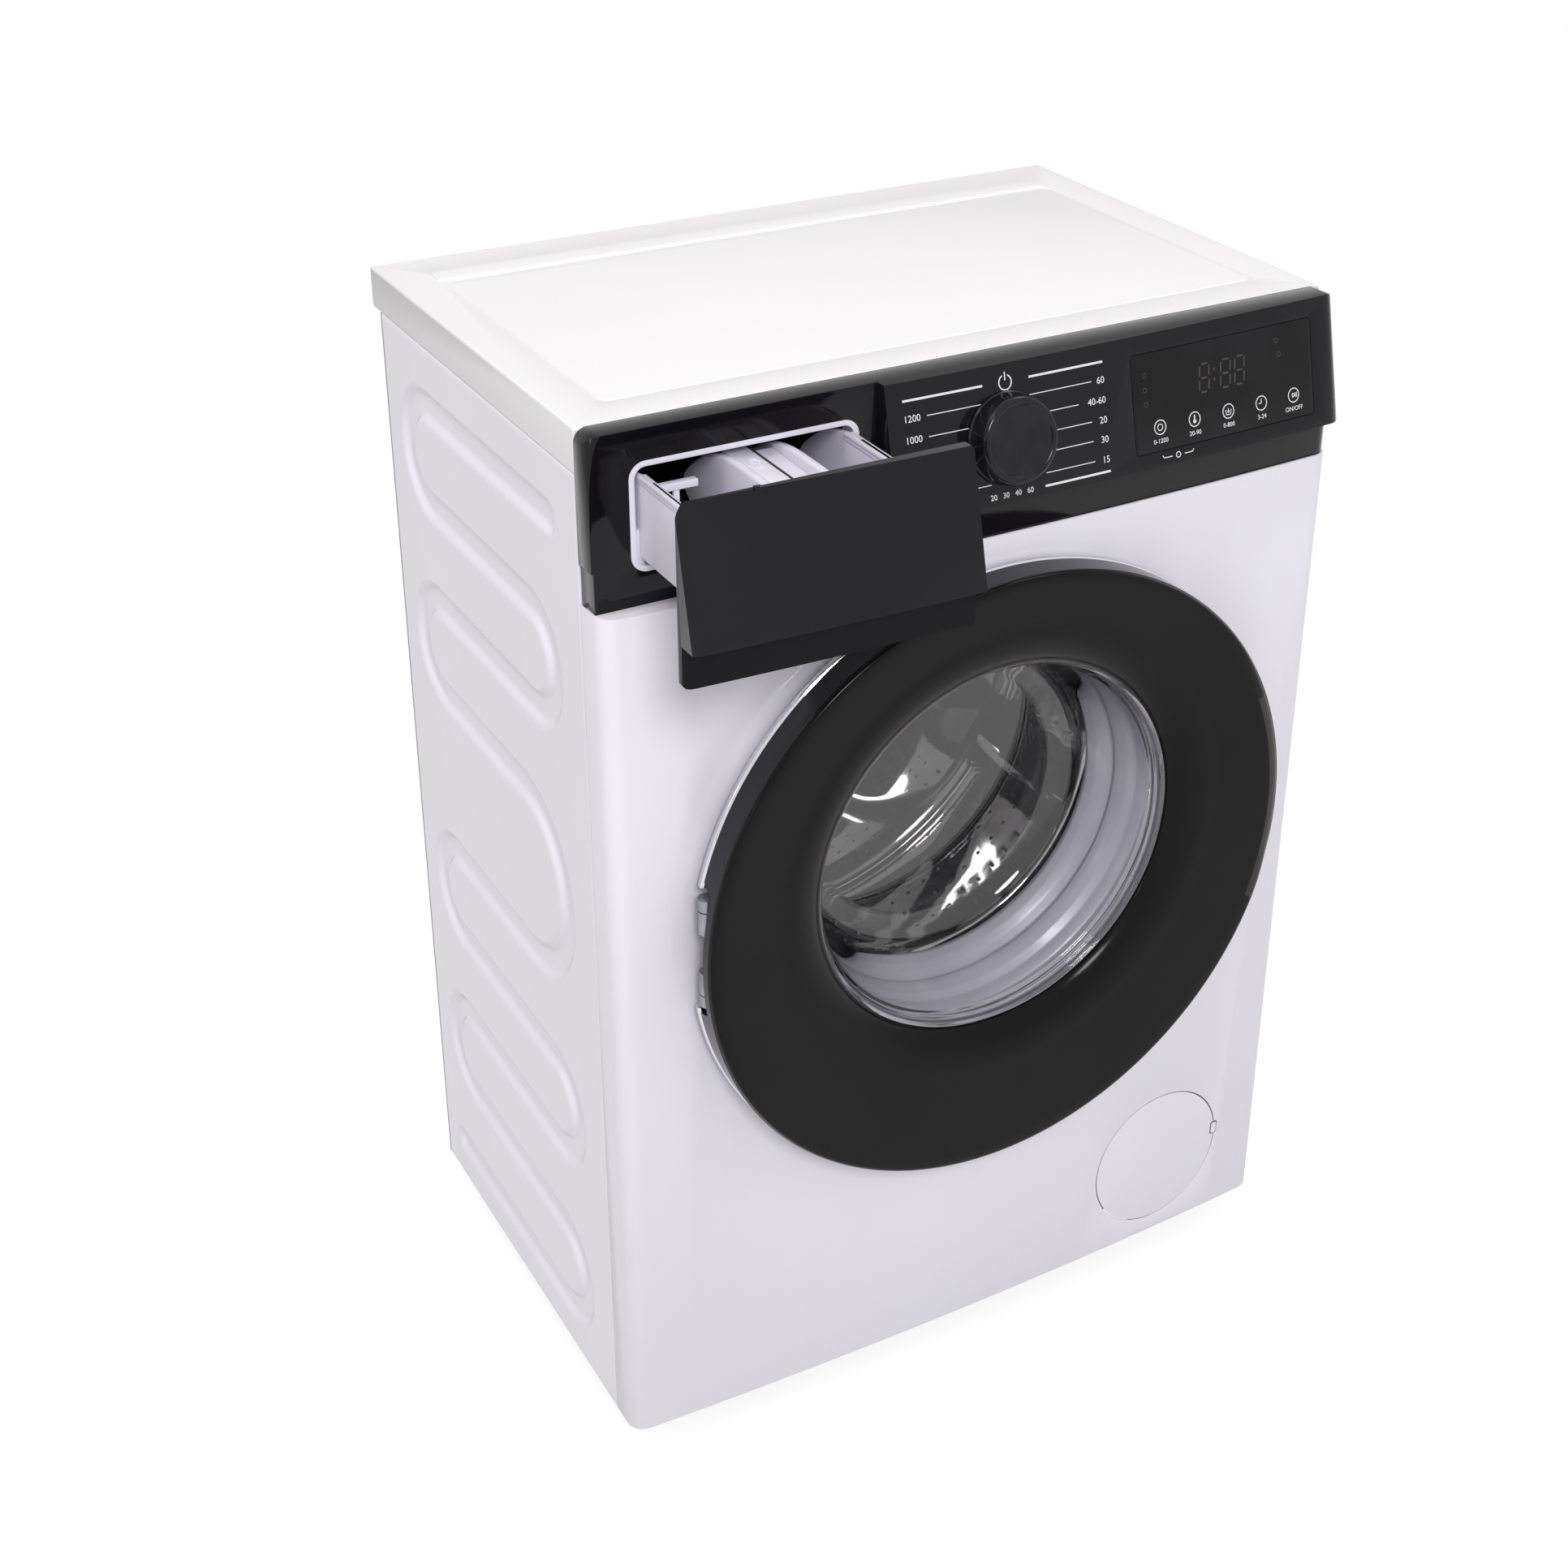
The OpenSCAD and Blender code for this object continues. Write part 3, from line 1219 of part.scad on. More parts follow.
// Transit bolts through the back into the tub
module transit_bolts() {
    color(steel) for (p = transit) {
        rod(p.x, p.y, tub_back + 8, body_d + 4, transit_r - 1 - bore_gap);
        rod(p.x, p.y, tub_back + 24, body_d, transit_r + 3);
        rod(p.x, p.y, body_d, body_d + 2, transit_r + 9);
        facing(p.x, p.y) translate([0, 0, body_d + 2 - eps]) cylinder(h = 7, r = transit_r + 4, $fn = 6);
    }
}

// Equal screws that hold the two tub halves and the rear cover
module screws() {
    module screw(x, z, at, way) {
        facing(x, z) translate([0, 0, at]) rotate([way < 0 ? 180 : 0, 0, 0]) {
            translate([0, 0, -9]) cylinder(h = 9 + eps, r = screw_r - bore_gap);
            cylinder(h = 3, r1 = screw_r + 2.4, r2 = screw_r + 1.6);
        }
    }
    color(steel) {
        for (p = tub_bolts) screw(p.x, p.y, tub_split - 5, -1);
        for (p = cover_bolts) screw(p.x, p.y, body_d + sheet, 1);
    }
}

// Lugs and pin behind the front that carry the filter's flap
flap_axis_x = filter_x - flap_r - seam_gap - 11;
flap_axis_d = bow_y(flap_axis_x) - front_y + 6;
flap_pin_r = 1.5;

module flap_bracket() {
    color(steel) {
        translate([flap_axis_x, front_y + flap_axis_d, filter_z - 15]) cylinder(h = 30, r = flap_pin_r);
        for (z = [filter_z - 15, filter_z + 12]) translate([0, 0, z]) linear_extrude(3) {
            translate([flap_axis_x - 12, front_y + flap_axis_d - 2.5]) square([12, 5]);
            translate([flap_axis_x, front_y + flap_axis_d]) circle(r = 2.5);
        }
        block([flap_axis_x - 14, flap_axis_d - 4.6, filter_z - 15], [flap_axis_x - 10, flap_axis_d + 2.5, filter_z + 15]);
    }
}

// Round flap, flush with the bowed front, on a gooseneck arm
module filter_flap() {
    arm = [[20, -3], [18, 12], [2, 14.5], [0, 0]];
    color(white) difference() {
        union() {
            intersection() {
                translate([0, 0, filter_z - flap_r]) linear_extrude(2 * flap_r)
                    polygon(front_wall(0, 2.5, seam_y));
                rod(filter_x, filter_z, -5, 40, flap_r);
            }
            translate([flap_axis_x, front_y + flap_axis_d, filter_z - 10]) linear_extrude(20)
                polygon(band(soft(arm, 3), 2));
            translate([flap_axis_x, front_y + flap_axis_d, filter_z - 10]) cylinder(h = 20, r = 3);
            translate([filter_x + flap_r - 9, front_y + 7, filter_z - 5]) cube([3, 9, 10]);
        }
        translate([flap_axis_x, front_y + flap_axis_d, filter_z - 11])
            cylinder(h = 22, r = flap_pin_r + bore_gap);
        face_plate(filter_x + flap_r - 10, filter_z - 6, 8, 12, 2, 0, 1);
    }
}

// Screw-in filter with its grip bar and strainer slots
module filter_plug() {
    color(dark) difference() {
        union() {
            rod(filter_x, filter_z, 8.5, pump_end - 12, filter_r);
            rod(filter_x, filter_z, 8.5, 11.7, filter_r + 3);
        }
        difference() {
            rod(filter_x, filter_z, 7, 24, filter_r - 4);
            block([filter_x - 4, 7, filter_z - filter_r], [filter_x + 4, 25, filter_z + filter_r]);
        }
        rod(filter_x, filter_z, 40, pump_end, filter_r - 3);
        for (z = [-1, 1]) block([filter_x - 5, 62, filter_z + z * filter_r - 9],
            [filter_x + 5, 88, filter_z + z * filter_r + 9]);
        for (x = [-1, 1]) block([filter_x + x * filter_r - 9, 50, filter_z - 7],
            [filter_x + x * filter_r + 9, 88, filter_z + 7]);
    }
}

drum_t = 1;

// Drum's cylinder with its rolled mouth, seen through the glass
module drum_shell() {
    color(steel) turned(drum_z, band(soft([[mouth_r + 4, drum_y + 13], [mouth_r, drum_y + 6],
        [mouth_r + 2, drum_y], [mouth_r + 14, drum_y + 1], [drum_r - 22, drum_y + 9],
        [drum_r + drum_t, drum_y + 26], [drum_r + drum_t, drum_end]], 2.5), drum_t));
}

// Pressed back of the drum with its raised star
module drum_back() {
    wall = [[drum_r - 2 * bore_gap, drum_end - 9], [drum_r - 2 * bore_gap, drum_end],
        [drum_r - 40, drum_end], [drum_r - 56, drum_end - 8], [96, drum_end - 8], [80, drum_end - 14],
        [50, drum_end - 14], [40, drum_end - 8], [0, drum_end - 8]];
    color(steel) {
        turned(drum_z, band(soft(wall, 2), drum_t));
        for (a = [90, 210, 330]) facing(0, drum_z) rotate([0, 0, a])
            translate([0, 0, drum_end - 13]) intersection() {
                rotate([90, 0, 0]) translate([0, 0, -24]) linear_extrude(48)
                    polygon([[88, 4.5], [96, 0], [drum_r - 70, 0], [drum_r - 56, 4.5]]);
                linear_extrude(8)
                    polygon([[84, -22], [drum_r - 52, -12], [drum_r - 52, 12], [84, 22]]);
            }
    }
}

// Three hollow-backed lifters that carry the laundry round
module lifters() {
    reach = 48;
    color(steel) for (a = [30, 150, 270]) facing(0, drum_z) rotate([0, 0, a])
        intersection() {
            translate([0, 0, drum_y + 28]) linear_extrude(drum_l - 42)
                polygon(soft([[drum_r, -38], [drum_r - 6, -36], [drum_r - reach, -11],
                    [drum_r - reach - 3, 0], [drum_r - reach, 11], [drum_r - 6, 36],
                    [drum_r, 38]], 4));
            rotate([90, 0, 0]) translate([0, 0, -45]) linear_extrude(90)
                polygon(soft([[drum_r + 1, drum_y + 28], [drum_r - 20, drum_y + 30],
                    [drum_r - reach - 4, drum_y + 48], [drum_r - reach - 4, drum_end - 40],
                    [drum_r - 20, drum_end - 16], [drum_r + 1, drum_end - 14]], 8));
            cylinder(h = body_d, r = drum_r - bore_gap, $fn = 128);
        }
}

// Cast three-armed spider that joins the drum to its shaft
module drum_spider() {
    color(steel) difference() {
        union() {
            rod(0, drum_z, drum_end + run_gap, drum_end + spider_t + 3, shaft_r + 18);
            for (a = [90, 210, 330]) facing(0, drum_z) rotate([0, 0, a])
                translate([0, 0, drum_end + run_gap]) difference() {
                    linear_extrude(spider_t - 1) polygon([[10, -24], [drum_r - 12, -13],
                        [drum_r - 4, -10], [drum_r - 4, 10], [drum_r - 12, 13], [10, 24]]);
                    translate([0, 0, 4]) linear_extrude(spider_t)
                        polygon([[shaft_r + 20, -16], [drum_r - 16, -8], [drum_r - 16, 8],
                            [shaft_r + 20, 16]]);
                }
        }
        rod(0, drum_z, drum_end + 4, body_d, shaft_r + bore_gap);
    }
}

module drum_shaft() {
    color(steel) difference() {
        rod(0, drum_z, drum_end + 4, pulley_y + pulley_w + 5, shaft_r);
        rod(0, drum_z, pulley_y + pulley_w - 10, pulley_y + pulley_w + 6, 4);
    }
}

// Spoked drum pulley, fixed on the shaft by its bolt
module drum_pulley() {
    end = pulley_y + pulley_w;
    color(steel) {
        difference() {
            union() {
                rod(0, drum_z, pulley_y - 1, end + 1, 26);
                turned(drum_z, concat([[pulley_r - 7, pulley_y], [pulley_r + 1.5, pulley_y],
                    [pulley_r + 1.5, pulley_y + 1]],
                    [for (k = [0:4]) each [[pulley_r, pulley_y + 2.2 + 2 * k],
                        [pulley_r - 1.2, pulley_y + 3.2 + 2 * k]]],
                    [[pulley_r, end - 1.8], [pulley_r + 1.5, end - 1], [pulley_r + 1.5, end],
                    [pulley_r - 7, end]]));
                for (a = [0:60:300]) facing(0, drum_z) rotate([0, 0, a])
                    translate([20, -5, pulley_y + 3]) cube([pulley_r - 24, 10, pulley_w - 6]);
            }
            rod(0, drum_z, pulley_y - 2, end + 2, shaft_r + bore_gap);
        }
        rod(0, drum_z, end + 5, end + 7, 17);
    }
}

// Moulded front of the drawer: it follows the leaning bowed face and has a grip under its lip
module drawer_front() {
    width = half_w - drawer_end - drawer_x;
    lip_in = 3;
    color(black) shift_out() difference() {
        intersection() {
            union() {
                leaning(0, body_h - 1.5);
                translate([0, 0, panel_z + 0.5]) linear_extrude(step_z - panel_z)
                    polygon(section(lip_in, seam_y));
            }
            face_plate(drawer_end - half_w, panel_z + 0.5, width, panel_h - 2, 3,
                -panel_h, bay_d - seam_gap);
        }
        intersection() {
            translate([0, 0, panel_z - 1]) linear_extrude(band_h + 7) polygon(section(lip_in + 2.5, seam_y));
            block([-half_w + 34, 0, panel_z - 1], [-drawer_x - 26, bay_d - seam_gap - 2, step_z + 6]);
        }
    }
}

module shift_out() {
    translate([0, -drawer_out, 0]) children();
}

// Compartments between the tray's walls, and the floor of each
part_x = [tray_x, tray_x + 0.42 * tray_w, tray_x + 0.69 * tray_w, tray_x + tray_w];
part_floor = [tray_top - wash_h, tray_z, tray_z];

module drawer_tray() {
    long = tray_y + 0.62 * tray_l;
    function back_edge(floor_z, in) = [[tray_y + in, floor_z + in], [tray_y + in, tray_top + in],
        [long, tray_top + in], [long + 0.28 * tray_l - in, tray_top - 16],
        [tray_end - in, tray_top - 32 - in / 2], [tray_end - in, floor_z + in]];
    module run(from, to) {
        translate([from, 0, 0]) rotate([90, 0, 90]) linear_extrude(to - from)
            translate([front_y, 0]) children();
    }
    color(grey) shift_out() difference() {
        for (k = [0:2]) run(part_x[k] - eps, part_x[k + 1] + eps) polygon(back_edge(part_floor[k], 0));
        for (k = [0:2]) run(part_x[k] + tray_wall * (k == 0 ? 1 : 0.5),
            part_x[k + 1] - tray_wall * (k == 2 ? 1 : 0.5))
            polygon(back_edge(part_floor[k], tray_wall));
    }
}

// Lift-off cap over the middle compartment
module siphon_cap() {
    in = tray_wall / 2 + bore_gap;
    middle = (part_x[1] + part_x[2]) / 2;
    color(grey) shift_out() difference() {
        union() {
            block([part_x[1] + in, tray_y + 70, tray_top - 6], [part_x[2] - in, tray_y + 104, tray_top - 3]);
            translate([middle, front_y + tray_y + 87, tray_z + tray_wall + run_gap])
                cylinder(h = tray_h - 6 - tray_wall - run_gap + eps, r = 7);
        }
        block([part_x[1] + 12, tray_y + 78, tray_top - 7], [part_x[2] - 12, tray_y + 80, tray_top]);
        translate([middle, front_y + tray_y + 87, tray_z]) cylinder(h = tray_h - 12, r = 4.5);
    }
}

left_side();
right_side();
rear_panel();
rear_cover();
base_tray();
front_panel();
worktop();
cross_rails();
control_panel();
display_window();
display_board();
selector();
drawer_housing();
drawer_hose();
water_valve();
inlet_hose();
tub_front();
tub_rear();
gasket();
gasket_clamp();
front_weight();
top_weight();
heater();
drum_bearings();
shaft_seal();
tub_springs();
damper_tubes();
damper_rods();
motor();
drive_belt();
drain_pump();
sump_hose();
drain_pipe();
mains_gland();
door_lock();
hinge_bracket();
flap_bracket();
feet();
foot_nuts();
transit_bolts();
screws();
door_trim();
door_frame();
door_glass();
hinge_leaf();
latch_hook();
drum_shell();
drum_back();
lifters();
drum_spider();
drum_shaft();
drum_pulley();
motor_pulley();
drawer_front();
drawer_tray();
siphon_cap();
knob();
filter_flap();
filter_plug();
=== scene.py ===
import json
import math

import bmesh
import bpy
from mathutils import Matrix, Vector

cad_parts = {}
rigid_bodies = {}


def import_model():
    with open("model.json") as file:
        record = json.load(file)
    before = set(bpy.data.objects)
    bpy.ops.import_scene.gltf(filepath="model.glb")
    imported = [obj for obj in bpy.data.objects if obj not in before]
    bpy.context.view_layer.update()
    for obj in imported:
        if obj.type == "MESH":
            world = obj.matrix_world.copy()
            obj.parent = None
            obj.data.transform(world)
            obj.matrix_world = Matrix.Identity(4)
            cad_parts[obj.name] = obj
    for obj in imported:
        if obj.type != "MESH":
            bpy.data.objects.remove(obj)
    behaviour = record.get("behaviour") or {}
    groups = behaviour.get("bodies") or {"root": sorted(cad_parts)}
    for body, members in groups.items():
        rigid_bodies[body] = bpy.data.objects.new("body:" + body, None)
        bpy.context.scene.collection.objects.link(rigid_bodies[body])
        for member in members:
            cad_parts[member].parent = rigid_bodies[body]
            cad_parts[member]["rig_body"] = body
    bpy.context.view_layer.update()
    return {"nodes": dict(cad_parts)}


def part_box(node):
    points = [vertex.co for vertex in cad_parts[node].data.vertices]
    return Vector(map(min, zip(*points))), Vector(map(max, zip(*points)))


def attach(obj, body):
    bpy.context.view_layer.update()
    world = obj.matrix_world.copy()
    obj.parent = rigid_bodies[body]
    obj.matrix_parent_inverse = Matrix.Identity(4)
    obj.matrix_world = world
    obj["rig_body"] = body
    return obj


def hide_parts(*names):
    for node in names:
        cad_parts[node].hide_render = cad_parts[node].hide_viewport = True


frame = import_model()
print("frame loaded")

# Places that every piece is measured from
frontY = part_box("front_panel")[0].y
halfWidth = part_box("front_panel")[1].x
doorZ = (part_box("door_trim")[0].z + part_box("door_trim")[1].z) / 2
drumZ = (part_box("drum_shell")[0].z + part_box("drum_shell")[1].z) / 2

cameraView = {
    "place": (-0.8303, -1.4133, 1.3927),
    "turn": -0.529,
    "dip": 0.4653,
    "roll": 0.012,
    "lens": 53.5,
    "shift": (-0.0435, -0.1001),
}


def addCamera():
    data = bpy.data.cameras.new("camera")
    data.sensor_width = 36
    data.lens = cameraView["lens"]
    data.shift_x, data.shift_y = cameraView["shift"]
    camera = bpy.data.objects.new("camera", data)
    turn = Matrix.Rotation(cameraView["turn"], 4, "Z")
    dip = Matrix.Rotation(math.pi / 2 - cameraView["dip"], 4, "X")
    roll = Matrix.Rotation(cameraView["roll"], 4, "Z")
    camera.matrix_world = Matrix.Translation(cameraView["place"]) @ turn @ dip @ roll
    bpy.context.scene.collection.objects.link(camera)
    bpy.context.scene.camera = camera


addCamera()
bpy.context.scene.view_settings.view_transform = "Standard"
print("camera placed")


def addNode(tree, kind, **values):
    made = tree.nodes.new(kind)
    for key, value in values.items():
        if hasattr(made, key):
            setattr(made, key, value)
        else:
            made.inputs[key.replace("_", " ")].default_value = value
    return made


studio = {
    "sky": 0.62,  # light from all round
    "floorSize": 24,
    "floorShade": 0.34,  # share of the floor's tone that a shadow can take away
    "floorGlow": 0.77,
    "floorPlain": 0.5,
    "lamps": [
        # name, place, target, size, watts, colour
        ("keyLamp", (-1.3, -3.2, 3.0), (0, 0, 0.5), 1.2, 88, (1, 0.995, 1)),
        ("rakeLamp", (-1.5, -0.2, 3.2), (-0.3, 0, 0.4), 0.9, 11, (1, 0.86, 0.88)),
        ("topLamp", (1.5, 0.3, 3.0), (0.2, 0, 0.8), 0.9, 7, (1, 1, 1)),
        ("stripLamp", (-2.4, -0.9, 1.2), (0, 0, 0.6), 0.35, 2, (1, 0.86, 0.88)),
    ],
}


def directRays(tree):
    path = addNode(tree, "ShaderNodeLightPath")
    first = addNode(tree, "ShaderNodeMath", operation="MAXIMUM")
    second = addNode(tree, "ShaderNodeMath", operation="MAXIMUM")
    tree.links.new(path.outputs["Is Camera Ray"], first.inputs[0])
    tree.links.new(path.outputs["Is Glossy Ray"], first.inputs[1])
    tree.links.new(first.outputs[0], second.inputs[0])
    tree.links.new(path.outputs["Is Transmission Ray"], second.inputs[1])
    return second.outputs[0]


def addStudio():
    world = bpy.data.worlds.new("studioWorld")
    bpy.context.scene.world = world
    world.use_nodes = True
    tree = world.node_tree
    tree.nodes.clear()
    light = addNode(tree, "ShaderNodeBackground", Color=(1, 0.995, 1, 1), Strength=studio["sky"])
    shown = addNode(tree, "ShaderNodeBackground", Color=(1, 1, 1, 1), Strength=1.0)
    mix = addNode(tree, "ShaderNodeMixShader")
    out = addNode(tree, "ShaderNodeOutputWorld")
    tree.links.new(directRays(tree), mix.inputs[0])
    tree.links.new(light.outputs[0], mix.inputs[1])
    tree.links.new(shown.outputs[0], mix.inputs[2])
    tree.links.new(mix.outputs[0], out.inputs[0])

    bm = bmesh.new()
    bmesh.ops.create_grid(bm, x_segments=1, y_segments=1, size=studio["floorSize"] / 2)
    mesh = bpy.data.meshes.new("floor")
    bm.to_mesh(mesh)
    bm.free()
    floor = bpy.data.objects.new("floor", mesh)
    bpy.context.scene.collection.objects.link(floor)
    paint = bpy.data.materials.new("floorPaint")
    paint.use_nodes = True
    tree = paint.node_tree
    tree.nodes.clear()
    plain = addNode(tree, "ShaderNodeBsdfDiffuse", Color=(studio["floorPlain"],) * 3 + (1,))
    shade = addNode(tree, "ShaderNodeBsdfDiffuse", Color=(studio["floorShade"],) * 3 + (1,))
    glow = addNode(tree, "ShaderNodeEmission", Color=(1, 1, 1, 1), Strength=studio["floorGlow"])
    both = addNode(tree, "ShaderNodeAddShader")
    mix = addNode(tree, "ShaderNodeMixShader")
    out = addNode(tree, "ShaderNodeOutputMaterial")
    tree.links.new(shade.outputs[0], both.inputs[0])
    tree.links.new(glow.outputs[0], both.inputs[1])
    tree.links.new(directRays(tree), mix.inputs[0])
    tree.links.new(plain.outputs[0], mix.inputs[1])
    tree.links.new(both.outputs[0], mix.inputs[2])
    tree.links.new(mix.outputs[0], out.inputs[0])
    mesh.materials.append(paint)

    for name, place, target, size, watts, colour in studio["lamps"]:
        data = bpy.data.lights.new(name, "AREA")
        data.shape = "DISK"
        data.size = size
        data.energy = watts
        data.color = colour
        lamp = bpy.data.objects.new(name, data)
        aim = (Vector(target) - Vector(place)).to_track_quat("-Z", "Y")
        lamp.matrix_world = Matrix.Translation(place) @ aim.to_matrix().to_4x4()
        bpy.context.scene.collection.objects.link(lamp)


addStudio()
print("studio lit")


# Finishes. Each is a plain shader whose colour, gloss and skin then get their own grain.
def newFinish(name, colour, roughness, **sockets):
    finish = bpy.data.materials.new(name)
    finish.use_nodes = True
    shader = finish.node_tree.nodes["Principled BSDF"]
    shader.inputs["Base Color"].default_value = (*colour, 1)
    shader.inputs["Roughness"].default_value = roughness
    for key, value in sockets.items():
        shader.inputs[key.replace("_", " ")].default_value = value
    return finish


def patternNoise(finish, scale, detail=3, stretch=(1, 1, 1)):
    tree = finish.node_tree
    place = addNode(tree, "ShaderNodeTexCoord")
    turn = addNode(tree, "ShaderNodeMapping", Scale=stretch)
    noise = addNode(tree, "ShaderNodeTexNoise", Scale=scale, Detail=detail)
    tree.links.new(place.outputs["Object"], turn.inputs["Vector"])
    tree.links.new(turn.outputs["Vector"], noise.inputs["Vector"])
    return noise.outputs["Fac"]


def mottle(finish, other, scale, low=0.35, high=0.65, detail=3, stretch=(1, 1, 1)):
    tree = finish.node_tree
    shader = tree.nodes["Principled BSDF"]
    reach = addNode(tree, "ShaderNodeMapRange", From_Min=low, From_Max=high)
    mix = addNode(tree, "ShaderNodeMix", data_type="RGBA")
    tree.links.new(patternNoise(finish, scale, detail, stretch), reach.inputs["Value"])
    tree.links.new(reach.outputs["Result"], mix.inputs["Factor"])
    mix.inputs[6].default_value = shader.inputs["Base Color"].default_value
    mix.inputs[7].default_value = (*other, 1)
    tree.links.new(mix.outputs[2], shader.inputs["Base Color"])


def varyGloss(finish, low, high, scale, detail=4, stretch=(1, 1, 1)):
    tree = finish.node_tree
    reach = addNode(tree, "ShaderNodeMapRange", From_Min=0.3, From_Max=0.7, To_Min=low, To_Max=high)
    tree.links.new(patternNoise(finish, scale, detail, stretch), reach.inputs["Value"])
    tree.links.new(reach.outputs["Result"], tree.nodes["Principled BSDF"].inputs["Roughness"])


def grain(finish, scale, strength, depth, detail=2, stretch=(1, 1, 1)):
    tree = finish.node_tree
    bump = addNode(tree, "ShaderNodeBump", Strength=strength, Distance=depth)
    tree.links.new(patternNoise(finish, scale, detail, stretch), bump.inputs["Height"])
    tree.links.new(bump.outputs["Normal"], tree.nodes["Principled BSDF"].inputs["Normal"])


def makeFinishes():
    made = {}

    enamel = newFinish("whiteEnamel", (0.80, 0.785, 0.85), 0.3, Coat_Weight=0.25, Coat_Roughness=0.12)
    mottle(enamel, (0.785, 0.765, 0.825), 6)
    varyGloss(enamel, 0.29, 0.33, 14)
    made["white_steel"] = enamel

    lid = newFinish("warmWhiteMoulding", (0.83, 0.81, 0.82), 0.42)
    mottle(lid, (0.815, 0.79, 0.795), 5)
    varyGloss(lid, 0.38, 0.48, 20)
    grain(lid, 1500, 0.15, 0.00015)
    made["white_plastic"] = lid

    gloss = newFinish("pianoBlack", (0.004, 0.004, 0.006), 0.06, Specular_IOR_Level=0.22)
    mottle(gloss, (0.007, 0.006, 0.008), 9)
    varyGloss(gloss, 0.05, 0.12, 30)
    grain(gloss, 260, 0.04, 0.0001)
    made["black_gloss"] = gloss

    smoked = newFinish("smokedPane", (0.004, 0.004, 0.005), 0.04, Specular_IOR_Level=0.2)
    varyGloss(smoked, 0.03, 0.08, 40)
    mottle(smoked, (0.010, 0.010, 0.012), 12)
    made["smoked_window"] = smoked

    made["ink"] = newFinish("whiteInk", (0.80, 0.80, 0.82), 0.5)
    mottle(made["ink"], (0.74, 0.74, 0.76), 400)
    made["faintInk"] = newFinish("unlitDigits", (0.028, 0.022, 0.022), 0.35)
    mottle(made["faintInk"], (0.045, 0.034, 0.033), 1500, 0.45, 0.55)

    cap = newFinish("knobBlack", (0.006, 0.006, 0.008), 0.12, Specular_IOR_Level=0.25)
    mottle(cap, (0.012, 0.012, 0.014), 60)
    varyGloss(cap, 0.1, 0.2, 90)
    made["knob"] = cap

    made["band"] = newFinish("doorBandGloss", (0.004, 0.004, 0.006), 0.06, Specular_IOR_Level=0.3)
    mottle(made["band"], (0.007, 0.007, 0.009), 20)
    varyGloss(made["band"], 0.04, 0.09, 40)
    # a lighter brown copy of the door black, laid on the grip bevel: a painted highlight
    made["grip"] = newFinish("doorGripPaintedHighlight", (0.02, 0.0145, 0.014), 0.2, Specular_IOR_Level=0.3)
    mottle(made["grip"], (0.024, 0.018, 0.0175), 20)
    made["lip"] = newFinish("lipGloss", (0.003, 0.003, 0.005), 0.05, Specular_IOR_Level=0.13)
    varyGloss(made["lip"], 0.04, 0.09, 40)
    # near-black finish laid where shade falls: painted shade deep in the drawer housing and round the flap's
    # catch
    made["hollow"] = newFinish("housingPaintedShade", (0.02, 0.02, 0.022), 0.45)
    mottle(made["hollow"], (0.032, 0.031, 0.034), 40)
    made["flap"] = newFinish("flapWhite", (0.80, 0.785, 0.85), 0.32, Coat_Weight=0.15, Coat_Roughness=0.15)
    mottle(made["flap"], (0.785, 0.765, 0.825), 9)
    varyGloss(made["flap"], 0.28, 0.38, 30)

    ring = newFinish("doorBlack", (0.003, 0.0026, 0.0028), 0.16, Specular_IOR_Level=0.13, Sheen_Weight=0.4,
                     Sheen_Roughness=0.3, Sheen_Tint=(1.0, 0.86, 0.82, 1))
    mottle(ring, (0.005, 0.0042, 0.0045), 7)
    varyGloss(ring, 0.13, 0.19, 26)
    grain(ring, 420, 0.03, 0.0001)
    made["door"] = ring

    tray = newFinish("paleTray", (0.76, 0.745, 0.83), 0.34)
    mottle(tray, (0.735, 0.72, 0.81), 22)
    varyGloss(tray, 0.28, 0.4, 60)
    grain(tray, 1200, 0.1, 0.0001)
    made["tray_plastic"] = tray

    moulding = newFinish("greyMoulding", (0.35, 0.35, 0.39), 0.5)
    mottle(moulding, (0.31, 0.31, 0.35), 18)
    varyGloss(moulding, 0.42, 0.58, 50)
    grain(moulding, 900, 0.2, 0.0002)
    made["grey_plastic"] = moulding

    dark = newFinish("darkMoulding", (0.022, 0.022, 0.025), 0.5)
    mottle(dark, (0.034, 0.033, 0.036), 24)
    varyGloss(dark, 0.42, 0.6, 50)
    grain(dark, 1100, 0.25, 0.0002)
    made["dark_plastic"] = dark

    rubber = newFinish("blackRubber", (0.018, 0.018, 0.02), 0.62, Sheen_Weight=0.1)
    mottle(rubber, (0.03, 0.03, 0.032), 30)
    varyGloss(rubber, 0.55, 0.72, 60)
    grain(rubber, 1400, 0.3, 0.0002)
    made["black_rubber"] = rubber

    seal = newFinish("greySeal", (0.44, 0.435, 0.485), 0.36, Coat_Weight=0.2, Coat_Roughness=0.2)
    mottle(seal, (0.40, 0.395, 0.445), 26)
    varyGloss(seal, 0.32, 0.48, 40)
    grain(seal, 800, 0.15, 0.0002)
    made["grey_rubber"] = seal

    zinc = newFinish("zincSheet", (0.42, 0.43, 0.45), 0.42, Metallic=1.0)
    mottle(zinc, (0.37, 0.38, 0.40), 130, 0.42, 0.58, 1)
    varyGloss(zinc, 0.34, 0.5, 70)
    grain(zinc, 500, 0.1, 0.0001)
    made["zinc_steel"] = zinc

    drum = newFinish("polishedDrum", (0.34, 0.332, 0.33), 0.06, Metallic=1.0)
    mottle(drum, (0.27, 0.265, 0.263), 30)
    varyGloss(drum, 0.03, 0.08, 24, stretch=(1, 8, 1))
    grain(drum, 9, 0.3, 0.004, 1)
    made["polished_steel"] = drum

    chrome = newFinish("brightChrome", (0.68, 0.68, 0.71), 0.09, Metallic=1.0)
    varyGloss(chrome, 0.06, 0.14, 40)
    mottle(chrome, (0.62, 0.62, 0.66), 18)
    made["bright_chrome"] = chrome

